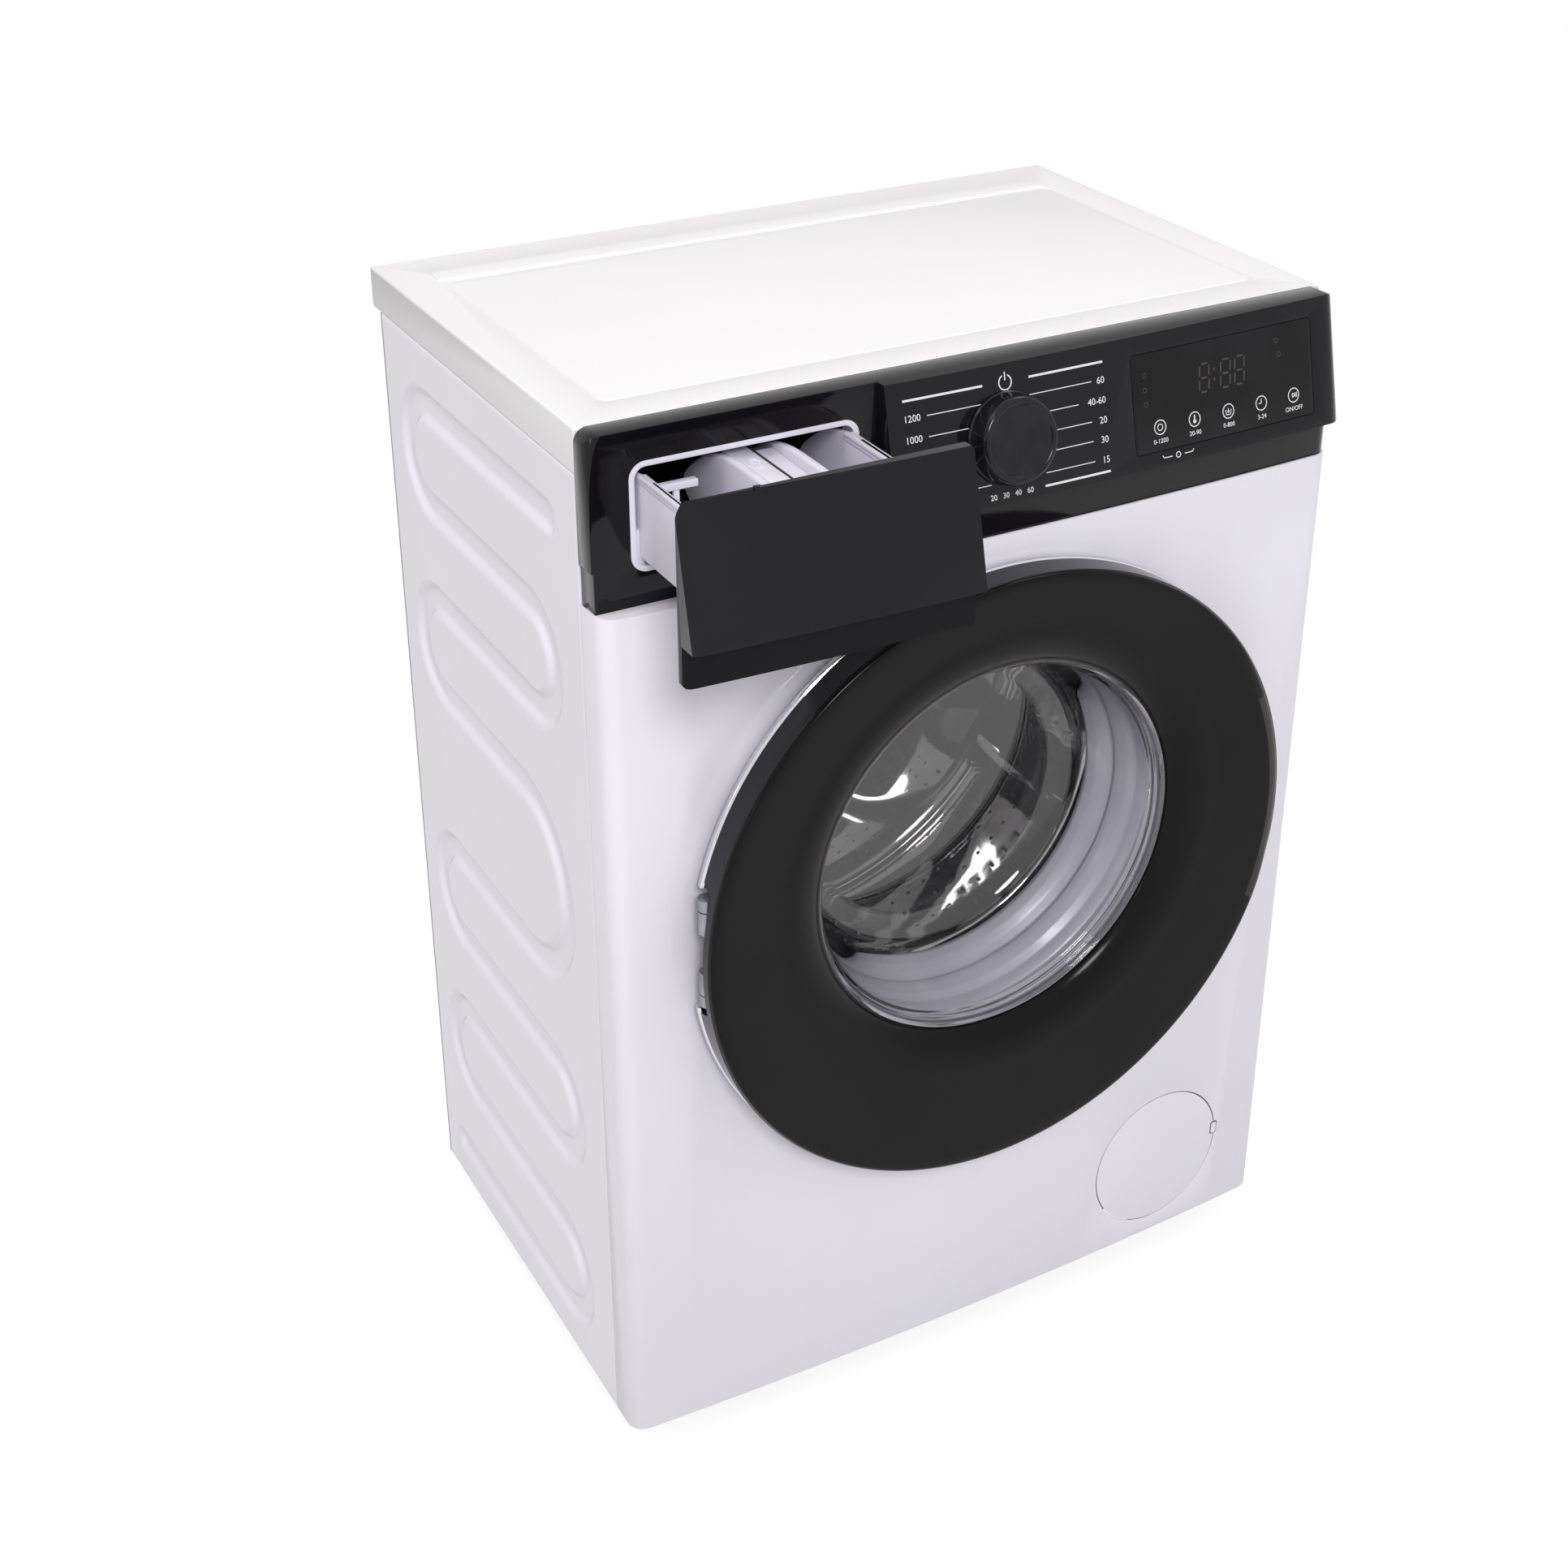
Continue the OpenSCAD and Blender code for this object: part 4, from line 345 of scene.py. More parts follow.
    alloy = newFinish("castAlloy", (0.38, 0.39, 0.4), 0.48, Metallic=1.0)
    mottle(alloy, (0.3, 0.31, 0.32), 60)
    varyGloss(alloy, 0.4, 0.6, 90)
    grain(alloy, 600, 0.35, 0.0003)
    made["cast_aluminium"] = alloy

    iron = newFinish("motorShell", (0.09, 0.09, 0.095), 0.5, Metallic=0.8)
    mottle(iron, (0.06, 0.06, 0.065), 50)
    grain(iron, 700, 0.3, 0.0003)
    made["cast_grey"] = iron

    stone = newFinish("ballastConcrete", (0.27, 0.26, 0.25), 0.85)
    mottle(stone, (0.19, 0.185, 0.175), 120, detail=6)
    grain(stone, 260, 0.7, 0.0015, 6)
    made["concrete_grey"] = stone

    board = newFinish("boardGreen", (0.015, 0.09, 0.04), 0.4)
    mottle(board, (0.03, 0.13, 0.06), 160, 0.48, 0.52, 1)
    made["board_green"] = board

    made["clear_glass"] = glassFinish()
    return made


def glassFinish():
    finish = newFinish("clearGlass", (0.985, 0.985, 0.995), 0.0, Transmission_Weight=1.0, IOR=1.5)
    tree = finish.node_tree
    shader = tree.nodes["Principled BSDF"]
    out = tree.nodes["Material Output"]
    path = addNode(tree, "ShaderNodeLightPath")
    either = addNode(tree, "ShaderNodeMath", operation="MAXIMUM")
    clear = addNode(tree, "ShaderNodeBsdfTransparent", Color=(0.95, 0.95, 0.96, 1))
    mix = addNode(tree, "ShaderNodeMixShader")
    tree.links.new(path.outputs["Is Shadow Ray"], either.inputs[0])
    tree.links.new(path.outputs["Is Diffuse Ray"], either.inputs[1])
    tree.links.new(either.outputs[0], mix.inputs[0])
    tree.links.new(shader.outputs[0], mix.inputs[1])
    tree.links.new(clear.outputs[0], mix.inputs[2])
    tree.links.new(mix.outputs[0], out.inputs[0])
    return finish


finishes = makeFinishes()
print("finishes mixed")

nodeSlots = {name: piece.data.materials[0].name for name, piece in frame["nodes"].items()}
for name, piece in frame["nodes"].items():
    piece.material_slots[0].material = finishes[nodeSlots[name]]


def bodyOf(node):
    return frame["nodes"][node]["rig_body"]


# Turns a finished mesh into a piece that rides on its body
def addPiece(bm, name, nodes, finish=None, body=None, slot=None, sharp=32, merge=1e-6):
    bmesh.ops.remove_doubles(bm, verts=bm.verts, dist=merge)
    bmesh.ops.recalc_face_normals(bm, faces=bm.faces)
    for edge in bm.edges:
        edge.smooth = edge.is_manifold and edge.calc_face_angle(0) < math.radians(sharp)
    for face in bm.faces:
        face.smooth = True
    mesh = bpy.data.meshes.new(name)
    bm.to_mesh(mesh)
    bm.free()
    piece = bpy.data.objects.new(name, mesh)
    bpy.context.scene.collection.objects.link(piece)
    slot = slot or nodeSlots[nodes[0]]
    mesh.materials.append(finish or finishes[slot])
    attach(piece, body or bodyOf(nodes[0]))
    if body is None:
        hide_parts(*nodes)
    return piece


# A CAD node's mesh again, merged and with its flat faces whole
def nodeMesh(node):
    bm = bmesh.new()
    bm.from_mesh(frame["nodes"][node].data)
    bmesh.ops.remove_doubles(bm, verts=bm.verts, dist=1e-6)
    bmesh.ops.dissolve_limit(bm, angle_limit=math.radians(0.2), verts=bm.verts, edges=bm.edges)
    return bm


def sharpEdges(bm, degrees=30):
    return [e for e in bm.edges if e.is_manifold and e.calc_face_angle(0) > math.radians(degrees)]


def easeEdges(bm, edges, reach, steps):
    bmesh.ops.bevel(bm, geom=edges, offset=reach, offset_type="OFFSET", segments=steps,
                    profile=0.5, affect="EDGES", clamp_overlap=True, material=-1)


def easedCopy(node, reach, steps=2):
    bm = nodeMesh(node)
    easeEdges(bm, sharpEdges(bm), reach, steps)
    addPiece(bm, node + "Eased", [node])


# Pours one mesh into another
def joinMesh(bm, other):
    mesh = bpy.data.meshes.new("joined")
    other.to_mesh(mesh)
    other.free()
    bm.from_mesh(mesh)
    bpy.data.meshes.remove(mesh)


# Corners of a line of points, each turned into a small arc
def roundLine(points, reach, steps=4, closed=False):
    line = [Vector(point) for point in points]
    soft = []
    for i, here in enumerate(line):
        if not closed and i in (0, len(line) - 1):
            soft.append(here)
            continue
        before, after = line[i - 1] - here, line[(i + 1) % len(line)] - here
        first = here + before.normalized() * min(reach, before.length * 0.45)
        last = here + after.normalized() * min(reach, after.length * 0.45)
        for k in range(steps + 1):
            t = k / steps
            soft.append(first * (1 - t) ** 2 + here * 2 * t * (1 - t) + last * t ** 2)
    return soft


# A section (radius, depth) turned once round the axis at one height
def turnedSkin(section, centre, steps=192, closed=False):
    bm = bmesh.new()
    verts = [bmesh.ops.create_vert(bm, co=(p[0] / 1000, frontY + p[1] / 1000, centre / 1000))["vert"][0]
             for p in section]
    pairs = list(zip(verts, verts[1:])) + ([(verts[-1], verts[0])] if closed else [])
    edges = [bm.edges.new(pair) for pair in pairs]
    bmesh.ops.spin(bm, geom=verts + edges, cent=(0, 0, centre / 1000), axis=(0, 1, 0), dvec=(0, 0, 0),
                   angle=2 * math.pi, steps=steps, use_merge=True)
    bmesh.ops.remove_doubles(bm, verts=bm.verts, dist=1e-6)
    bmesh.ops.recalc_face_normals(bm, faces=bm.faces)
    return bm


print("workshop ready")

side = {
    "ribWidth": 29,
    "ribDepth": 4.5,
    "ribRun": 8,  # width of the soft shoulder
    "pitch": 79.7,
    "middleTurn": 72,
    "top": 771,  # height of the first bar
    "front": -107,
    "rear": 157,
    "seam": -156.5,  # where the side meets the front panel
    "mesh": 4,
    "fold": 1.2,
    "flange": 16,
}


def ribLines():
    turn = side["pitch"] / 2
    bars, bends = [], []
    for i in range(9):
        z = side["top"] - i * side["pitch"]
        if i > 3:
            z -= 2 * side["middleTurn"] - side["pitch"]
        start = side["front"] + (0 if i == 0 else side["middleTurn"] if i in (3, 4) else turn)
        end = side["rear"] - (0 if i == 8 else turn)
        bars.append((start, end, z))
    for i in (0, 2, 4, 6):
        bends.append((bars[i][1], bars[i][2] - turn, turn, 1))
    for i in (1, 5, 7):
        bends.append((bars[i][0], bars[i][2] - turn, turn, -1))
    bends.append((bars[3][0], bars[3][2] - side["middleTurn"], side["middleTurn"], -1))
    return bars, bends


def ribDistance(y, z, bars, bends):
    near = 1e9
    for start, end, height in bars:
        along = min(max(y, start), end)
        near = min(near, math.hypot(y - along, z - height))
    for y0, z0, radius, way in bends:
        if (y - y0) * way > 0:
            near = min(near, abs(math.hypot(y - y0, z - z0) - radius))
    return near


def addSide(name, node, way):
    low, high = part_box(node)
    front, rear = side["seam"], high.y * 1000
    bottom, top = low.z * 1000, high.z * 1000
    wide, tall = rear - front - 2 * side["fold"], top - bottom - 2 * side["fold"]
    bars, bends = ribLines()
    bm = bmesh.new()
    bmesh.ops.create_grid(bm, x_segments=round(wide / side["mesh"]), y_segments=round(tall / side["mesh"]),
                          size=0.5)
    for vert in bm.verts:
        y = (front + rear) / 2 + vert.co.x * wide
        z = (bottom + top) / 2 + vert.co.y * tall
        vert.co = (0, y, z)
    half = side["ribWidth"] / 2
    zone = [face for face in bm.faces
            if ribDistance(*face.calc_center_median().yz, bars, bends) < half + side["mesh"]]
    edges = list(dict.fromkeys(edge for face in zone for edge in face.edges))
    bmesh.ops.subdivide_edges(bm, edges=edges, cuts=1, use_grid_fill=True)
    for vert in bm.verts:
        near = ribDistance(vert.co.y, vert.co.z, bars, bends)
        t = min(max((half - near) / side["ribRun"], 0), 1)
        vert.co.x = side["ribDepth"] * t * t * (3 - 2 * t)
    # folded edges: three small turns, then the flange
    rim = [edge for edge in bm.edges if edge.is_boundary]
    middle = Vector((0, (front + rear) / 2, (bottom + top) / 2))
    for inward, outward in ((0.3, 0.7), (0.5, 0.4), (0.7, 0.1), (side["flange"], 0)):
        made = bmesh.ops.extrude_edge_only(bm, edges=rim)["geom"]
        for vert in (item for item in made if isinstance(item, bmesh.types.BMVert)):
            reach = vert.co - middle
            vert.co.x += inward
            if abs(abs(reach.y) - wide / 2) < 1.6:
                vert.co.y += math.copysign(outward, reach.y)
            if abs(abs(reach.z) - tall / 2) < 1.6:
                vert.co.z += math.copysign(outward, reach.z)
        rim = [item for item in made if isinstance(item, bmesh.types.BMEdge)]
    for vert in bm.verts:
        x, y, z = vert.co
        vert.co = (way * (halfWidth - x / 1000), y / 1000, z / 1000)
    bmesh.ops.recalc_face_normals(bm, faces=bm.faces)
    addPiece(bm, name, [node])


addSide("leftSide", "left_side", -1)
addSide("rightSide", "right_side", 1)
print("sides pressed")

# Door: a black ring dished towards the glass, a bright frame behind it and a clear bowl
door = {
    "outer": 248,
    "hole": 151,
    "rollOver": 36,  # width of the curl into the glass hole
    "gripFrom": 24,  # angles of the bevelled grip, from level on the right
    "gripTo": -20,
    "gripWide": 10,
    "notchHalf": 49,
    "notchDepth": -22,
}


def between(first, last, t):
    return first + (last - first) * t


def smooth(t):
    t = min(max(t, 0), 1)
    return t * t * (3 - 2 * t)


# The door stands a little lower than the drum: the face leans across between them
def shiftCentres(bm):
    for vert in bm.verts:
        radius = math.hypot(vert.co.x, vert.co.z) * 1000
        inner, outer = door["hole"] + door["rollOver"], door["outer"] - 6
        t = min(max((outer - radius) / (outer - inner), 0), 1)
        vert.co.z += between(doorZ, drumZ, t)


def addDoorBand():
    outer = door["outer"]
    section = [(outer - 3.6, -9), (outer - 0.4, -9), (outer, -9.6), (outer, -16), (outer, -21.9),
               (outer, -29), (outer - 0.7, -29.8), (outer - 3.6, -29.8), (outer - 3.6, -20)]
    bm = turnedSkin(section, 0, 288, closed=True)
    shiftCentres(bm)
    for vert in bm.verts:  # room for the hinge
        if vert.co.x < 0 and abs(vert.co.z - (doorZ + drumZ) / 2) * 1000 < door["notchHalf"]:
            vert.co.y = min(vert.co.y, frontY + door["notchDepth"] / 1000)
    bmesh.ops.remove_doubles(bm, verts=bm.verts, dist=1e-6)
    bmesh.ops.recalc_face_normals(bm, faces=bm.faces)
    addPiece(bm, "doorBand", ["door_trim"], finishes["band"], body=bodyOf("door_trim"), slot="black_gloss")


def addDoorRing():
    outer, hole, roll = door["outer"], door["hole"], door["rollOver"]
    front = [(outer - 3, -29.4), (outer - 1, -29.4), (outer - 0.7, -30), (outer - 1, -31.3),
             (outer - 1.8, -32.3), (outer - 3, -32.8), (outer - 4.4, -33)]
    front += [(outer - door["gripWide"], -32.6)]
    front += [(between(outer - 6, hole + roll, i / 8), -33 + 5 * i / 8) for i in range(1, 9)]
    last = math.radians(78)
    for i in range(1, 15):
        a = i / 14 * last
        front.append((hole + roll * (1 - math.sin(a) / math.sin(last)),
                      -28 + 14 * (1 - math.cos(a)) / (1 - math.cos(last))))
    front += [(hole - 0.2, -12.8), (hole + 1.5, -12.2), (hole + 12, -12.2)]
    back = [(r, d + 3) for r, d in reversed(front) if hole + 13 < r < outer - 5]
    bm = turnedSkin(front + back, 0, 288, closed=True)
    for vert in bm.verts:  # bevelled grip on the free side
        turn = math.degrees(math.atan2(vert.co.z, vert.co.x))
        ends = smooth((turn - door["gripTo"]) / 14) * smooth((door["gripFrom"] + 14 - turn) / 14)
        slope = (math.hypot(vert.co.x, vert.co.z) * 1000 - outer) / door["gripWide"] + 1
        if slope > 0.01 and vert.co.y < frontY - 0.0298:
            vert.co.y += ends * slope * 0.0024
    # faces of the bevelled rim between the grip angles take the lighter brown finish: a painted highlight
    for face in bm.faces:
        spot = face.calc_center_median()
        turn = math.degrees(math.atan2(spot.z, spot.x))
        paintedHighlightRim = math.hypot(spot.x, spot.z) * 1000 > outer - door["gripWide"] and face.normal.y < -0.3
        face.material_index = int(paintedHighlightRim and door["gripTo"] < turn < door["gripFrom"])
    shiftCentres(bm)
    addPiece(bm, "doorRing", ["door_trim"], finishes["door"]).data.materials.append(finishes["grip"])


addDoorBand()
addDoorRing()


def addGlass():
    hole = door["hole"]
    front = [(0, 84), (hole - 42, 84), (hole - 27, 78), (hole - 20, 68), (hole - 8, 3), (hole - 7.6, -1),
             (hole - 5.6, -2.6), (hole - 5.2, -6), (hole - 3.2, -7.4), (hole - 2.8, -11), (hole - 0.8, -12.7),
             (hole + 3, -13), (hole + 12, -13)]
    back = [(hole + 12, -9), (hole + 2.2, -9), (hole - 1.2, -4), (hole - 2.6, 2.6), (hole - 15.8, 69.3),
            (hole - 24, 81.5), (hole - 40, 88), (0, 88)]
    line = roundLine(front[:4], 5, 5) + roundLine(front[4:], 0.8, 3) + roundLine(back, 5, 5)
    addPiece(turnedSkin(line, drumZ * 1000), "glassBowl", ["door_glass"], sharp=50)


addGlass()
print("door hung")

# Seal between the cabinet and the tub, folded, with a soft lip
seal = {
    "hole": 165,
    "lip": 138.8,
    "lipDepth": 67,
}


def addSeal():
    m, lip, deep = seal["hole"], seal["lip"], seal["lipDepth"]
    section = [(m + 7, 19.7), (m - 2, 19.7), (m - 4.2, 23.5), (m - 6.5, 29), (m - 12, 34), (m - 15.5, 40),
               (m - 17.2, 42.5), (m - 12.6, 45), (m - 12.4, 53), (m - 18.6, 56.5), (lip + 3.6, 61.5),
               (lip, 66), (lip + 0.6, 68.6),
               (lip + 4, 69.3), (m - 15, 64), (m - 8.4, 57.5), (m - 5.4, 50), (m - 5.4, 45), (m + 1.5, 41.6),
               (m + 1.5, 55), (m - 1.1, 55), (m - 1.1, 45), (m - 2.8, 45.6), (m - 2.8, 51), (m - 6.6, 60),
               (m - 14, 67), (lip + 4.4, 72), (lip - 1.4, 71), (lip - 2.6, 66), (lip + 0.8, 59.8),
               (m - 20.6, 54.4), (m - 14.8, 51), (m - 14.8, 46.6), (m - 19.6, 43.6), (m - 17.6, 38.6),
               (m - 13.8, 32.2),
               (m - 8.6, 27.6), (m - 6.8, 22.6), (m - 4.4, 18.3), (m - 3, 17.2), (m + 7, 17.2)]
    line = roundLine(section, 1.3, 3, closed=True)
    addPiece(turnedSkin(line, drumZ * 1000, 192, closed=True), "doorSeal", ["gasket"], sharp=60)


addSeal()

drum = {
    "radius": 240,
    "mouth": 146,
    "front": 80,
    "back": 312,
    "holes": 88,  # holes round one row
    "rows": 10,
    "holeSize": 0.0036,
}


def addDrumShell():
    r, mouth, front = drum["radius"], drum["mouth"], drum["front"]
    section = [(mouth + 6, front + 12), (mouth, front + 11), (mouth - 3, front + 7), (mouth - 1, front + 2),
               (mouth + 4, front), (mouth + 14, front + 2),
               (mouth + 26, front + 5), (mouth + 38, front + 4), (r - 22, front + 9), (r + 1, front + 26),
               (r + 1, front + 27)]
    bm = turnedSkin(roundLine(section, 3, 4), drumZ * 1000, drum["holes"] * 2)
    start, end = front + 27, drum["back"]
    rows = drum["rows"]
    wall = bmesh.new()
    pitch = 2 * math.pi * r / drum["holes"] / 1000
    deep = (end - start) / rows / 1000
    bmesh.ops.create_grid(wall, x_segments=drum["holes"], y_segments=rows, size=0.5)
    for vert in wall.verts:
        vert.co = ((vert.co.x + 0.5) * drum["holes"] * pitch, (vert.co.y + 0.5) * rows * deep, 0)
    size = drum["holeSize"]
    bmesh.ops.inset_individual(wall, faces=list(wall.faces), thickness=(min(pitch, deep) - size) / 2,
                               use_even_offset=True)
    middles = [f for f in wall.faces if f.calc_area() < size * max(pitch, deep) and
               abs(f.calc_center_median().x / pitch % 1 - 0.5) < 0.1 and
               abs(f.calc_center_median().y / deep % 1 - 0.5) < 0.1]
    for face in middles:
        middle = face.calc_center_median()
        for vert in face.verts:
            reach = vert.co - middle
            vert.co = middle + Vector((math.copysign(size / 2, reach.x), math.copysign(size / 2, reach.y), 0))
    corners = list(dict.fromkeys(vert for face in middles for vert in face.verts))
    bmesh.ops.bevel(wall, geom=corners, offset=size * 0.29, offset_type="OFFSET", segments=1, profile=0.5,
                    affect="VERTICES", clamp_overlap=True, material=-1)
    area = size * size
    holes = [f for f in wall.faces if len(f.verts) == 8 and abs(f.calc_area() - area * 0.83) < area * 0.15]
    bmesh.ops.delete(wall, geom=holes, context="FACES")
    for vert in wall.verts:
        turn = vert.co.x / pitch / drum["holes"] * 2 * math.pi
        depth = start / 1000 + vert.co.y
        reach = (r + 1) / 1000
        vert.co = (reach * math.cos(turn), frontY + depth, drumZ + reach * math.sin(turn))
    print("drum holes", len(holes), "of", len(middles))
    joinMesh(bm, wall)
    addPiece(bm, "drumWall", ["drum_shell"], sharp=50, merge=2e-5)


addDrumShell()


# Back of the drum: a dished disc pressed into a three-armed star with soft shoulders
def addDrumBack():
    r, back = drum["radius"] - 0.4, drum["back"]
    bm = bmesh.new()
    hoops = [(r, back - 9), (r, back - 2), (r - 1.5, back)] + [(r - 4 - i * 4.0, back) for i in range(58)]
    hoops = [(a, b) for a, b in hoops if a > 3] + [(0, back)]
    skin = turnedSkin(hoops, drumZ * 1000, 240)
    for vert in skin.verts:
        x, z = vert.co.x * 1000, (vert.co.z - drumZ) * 1000
        reach, turn = math.hypot(x, z), math.atan2(z, x)
        if reach > r - 3:
            continue
        arm = 0.5 + 0.5 * math.cos(3 * (turn - math.pi / 2 + 0.35 * math.sin(reach / 60)))
        star = smooth((arm - 0.38) / 0.34)
        edge = smooth((r - 8 - reach) / 26)
        hub = smooth((reach - 38) / 18)
        swirl = 1.6 * math.sin(3 * turn + reach / 16) * smooth((reach - 60) / 40)
        lift = edge * (5 + hub * star * 9.5 * smooth((reach - 50) / 50) + 2.2 * (1 - hub) + swirl * 0.7)
        vert.co.y -= lift / 1000
    bm.free()
    addPiece(skin, "drumBackPressing", ["drum_back"], sharp=60)


addDrumBack()
easedCopy("lifters", 0.0015, 3)
print("drum pressed")

# Control panel: places on its leaning, slightly bowed face, in millimetres
panel = {
    "bow": 8.5,
    "out": 10.9,
    "lean": 0.235,
    "step": 757,
    "knob": 800.5,
}
leanTurn = math.atan(panel["lean"])


def facePoint(x, z, proud):
    bow = panel["bow"] * (x * 0.001 / halfWidth) ** 2
    y = bow / math.cos(leanTurn) - panel["out"] + panel["lean"] * (z - panel["step"])
    return Vector((x / 1000, frontY + (y - proud) / 1000, z / 1000))


# A flat sheet of marks is drawn upright (x, height, proud) and then laid on the face
def layOnFace(bm):
    for vert in bm.verts:
        vert.co = facePoint(*vert.co)
    return bm


def addBar(bm, x0, z0, x1, z1, width, low=0.02, high=0.1):
    along = Vector((x1 - x0, z1 - z0))
    turn = Matrix.Rotation(math.atan2(along.y, along.x), 4, "Z")
    place = Matrix.Translation(((x0 + x1) / 2, (z0 + z1) / 2, (low + high) / 2))
    size = Matrix.Diagonal((along.length, width, high - low, 1))
    made = bmesh.ops.create_cube(bm, size=1, matrix=place @ turn @ size)["verts"]
    if along.length > 12:
        flat = along.normalized()
        edges = [e for e in dict.fromkeys(e for v in made for e in v.link_edges)
                 if abs((e.verts[1].co - e.verts[0].co).xy.dot(flat)) > along.length * 0.9]
        bmesh.ops.subdivide_edges(bm, edges=edges, cuts=int(along.length / 8))


def addArc(bm, x, z, radius, width, start=0, turn=360, low=0.02, high=0.1, steps=32):
    corners = [(radius - width / 2, low), (radius + width / 2, low), (radius + width / 2, high),
               (radius - width / 2, high)]
    a = math.radians(start)
    verts = [bmesh.ops.create_vert(bm, co=(x + r * math.cos(a), z + r * math.sin(a), w))["vert"][0]
             for r, w in corners]
    edges = [bm.edges.new((verts[i - 1], verts[i])) for i in range(4)]
    full = turn >= 360
    made = bmesh.ops.spin(bm, geom=verts + edges, cent=(x, z, 0), axis=(0, 0, 1), dvec=(0, 0, 0),
                          angle=math.radians(turn), steps=steps, use_merge=full)
    if not full:
        bmesh.ops.contextual_create(bm, geom=verts)
        last = [item for item in made["geom_last"] if isinstance(item, bmesh.types.BMVert)]
        bmesh.ops.contextual_create(bm, geom=last)


def addLetters(bm, words, x, z, size, align="LEFT", thick=0.1):
    data = bpy.data.curves.new("letters", "FONT")
    data.body, data.size, data.align_x = words, size, align
    data.extrude, data.resolution_u = thick / 2, 3
    holder = bpy.data.objects.new("letters", data)
    bpy.context.scene.collection.objects.link(holder)
    bpy.context.view_layer.update()
    shape = bpy.data.meshes.new_from_object(holder.evaluated_get(bpy.context.evaluated_depsgraph_get()))
    shape.transform(Matrix.Translation((x, z - size * 0.36, thick / 2 + 0.02)))
    bm.from_mesh(shape)
    bpy.data.objects.remove(holder)
    bpy.data.curves.remove(data)
    bpy.data.meshes.remove(shape)


legends = {
    "bars": [(-78.5, 837.7, -16.4), (21, 837.7, 82.4), (27.4, 762.7, 82.7), (-78.5, 762.7, -27.4)],
    "barWidth": 1.5,
    "leaderWidth": 0.55,
    "letter": 6.6,
    "rows": [
        # height, leader's far and near end, number
        (825.8, -61, -16.4, "1200"), (811.9, -61, -28, "1000"), (798.6, -67, -31, "90"),
        (785.3, -67, -30, "60"), (771.4, -67, -16, "30"),
        (825.8, 72, 20.5, "60"), (812.2, 60, 35, "40-60"), (798.6, 70, 38, "20"),
        (785.3, 70, 38, "30"), (771.4, 70, 29, "15"),
    ],
    "edge": (-79, 83),
    "foot": "20   30   40   60",
    "icons": [128, 159, 190, 221, 252],
    "iconHeight": 784.5,
    "iconWords": ["0-1200", "20-90", "0-800", "3-24", "ON/OFF"],
    "iconLetter": 4.6,
}


def addLegends():
    bm = bmesh.new()
    for x0, z, x1 in legends["bars"]:
        addBar(bm, x0, z, x1, z, legends["barWidth"])
    for z, far, near, number in legends["rows"]:
        addBar(bm, min(far, near), z, max(far, near), z, legends["leaderWidth"])
        left = far < 0
        addLetters(bm, number, legends["edge"][0 if left else 1], z, legends["letter"],
                   "LEFT" if left else "RIGHT")
    addLetters(bm, legends["foot"], 0, 762.7, legends["letter"] * 0.82, "CENTER")
    # power sign
    addArc(bm, 1.9, 837.2, 5.0, 0.9, start=115, turn=310)
    addBar(bm, 1.9, 838.4, 1.9, 844.2, 0.9)
    low = legends["iconHeight"]
    for x, words in zip(legends["icons"], legends["iconWords"]):
        addArc(bm, x, low, 5.0, 0.7)
        addLetters(bm, words, x, low - 9.4, legends["iconLetter"], "CENTER")
    x = legends["icons"]
    addArc(bm, x[0], low, 2.2, 0.6, steps=20)
    addArc(bm, x[1], low - 1.4, 0.8, 1.4, steps=12)
    addBar(bm, x[1], low - 1, x[1], low + 3, 1.1)
    for a, b in (((-2.6, 1.2), (-1.9, -2.4)), ((-1.9, -2.4), (1.9, -2.4)), ((1.9, -2.4), (2.6, 1.2)),
                 ((0, -1.2), (0, 2.2)), ((-1, 0.2), (0, -1.2)), ((1, 0.2), (0, -1.2))):
        addBar(bm, x[2] + a[0], low + a[1], x[2] + b[0], low + b[1], 0.55)
    addBar(bm, x[3], low, x[3], low + 3, 0.6)
    addBar(bm, x[3] - 0.3, low, x[3] - 2.4, low, 0.6)
    for bar in (-1.2, 1.8, 3.0):
        addBar(bm, x[4] + bar, low - 1.7, x[4] + bar, low + 1.7, 0.6)
    addBar(bm, x[4] - 1.1, low + 1.5, x[4] + 1.2, low, 0.6)
    addBar(bm, x[4] - 1.1, low - 1.5, x[4] + 1.2, low, 0.6)
    # bracket and dot under the window
    for sign in (-1, 1):
        addBar(bm, 142.5 + sign * 5.5, 762.6, 142.5 + sign * 12.6, 762.6, 0.6)
        addBar(bm, 142.5 + sign * 12.6, 762.6, 142.5 + sign * 14, 764.4, 0.6)
    addArc(bm, 142.5, 762.8, 1.9, 0.7, steps=20)
    addPiece(layOnFace(bm), "panelLegends", ["control_panel"], finishes["ink"], body=bodyOf("control_panel"),
             slot="white_plastic", sharp=20, merge=1e-8)


def addDigits():
    bm = bmesh.new()
    wide, tall, slant = 8.6, 19.5, 0.07
    for x in (165, 184.5, 197.5):
        for u, v, level in ((0, 0, True), (0, 1, True), (0, 2, True), (0, 0, False), (1, 0, False),
                            (0, 1, False), (1, 1, False)):
            z = 801.8 + v * tall / 2
            lean = slant * v * tall / 2
            if level:
                addBar(bm, x + lean + 1.6, z, x + lean + wide - 1.6, z, 1.3)
            else:
                start = x + u * wide + lean
                addBar(bm, start, z + 1.4, start + slant * tall / 2, z + tall / 2 - 1.4, 1.3)
    for z in (808, 815):
        addBar(bm, 179, z, 179.2, z + 2, 1.5)
    for x, z in ((117, 822), (117, 812), (117, 802), (238, 826), (240, 816)):
        addArc(bm, x, z, 1.6, 0.5, steps=14)
    addPiece(layOnFace(bm), "faintDigits", ["display_window"], finishes["faintInk"],
             body=bodyOf("display_window"), slot="smoked_window", sharp=20, merge=1e-8)


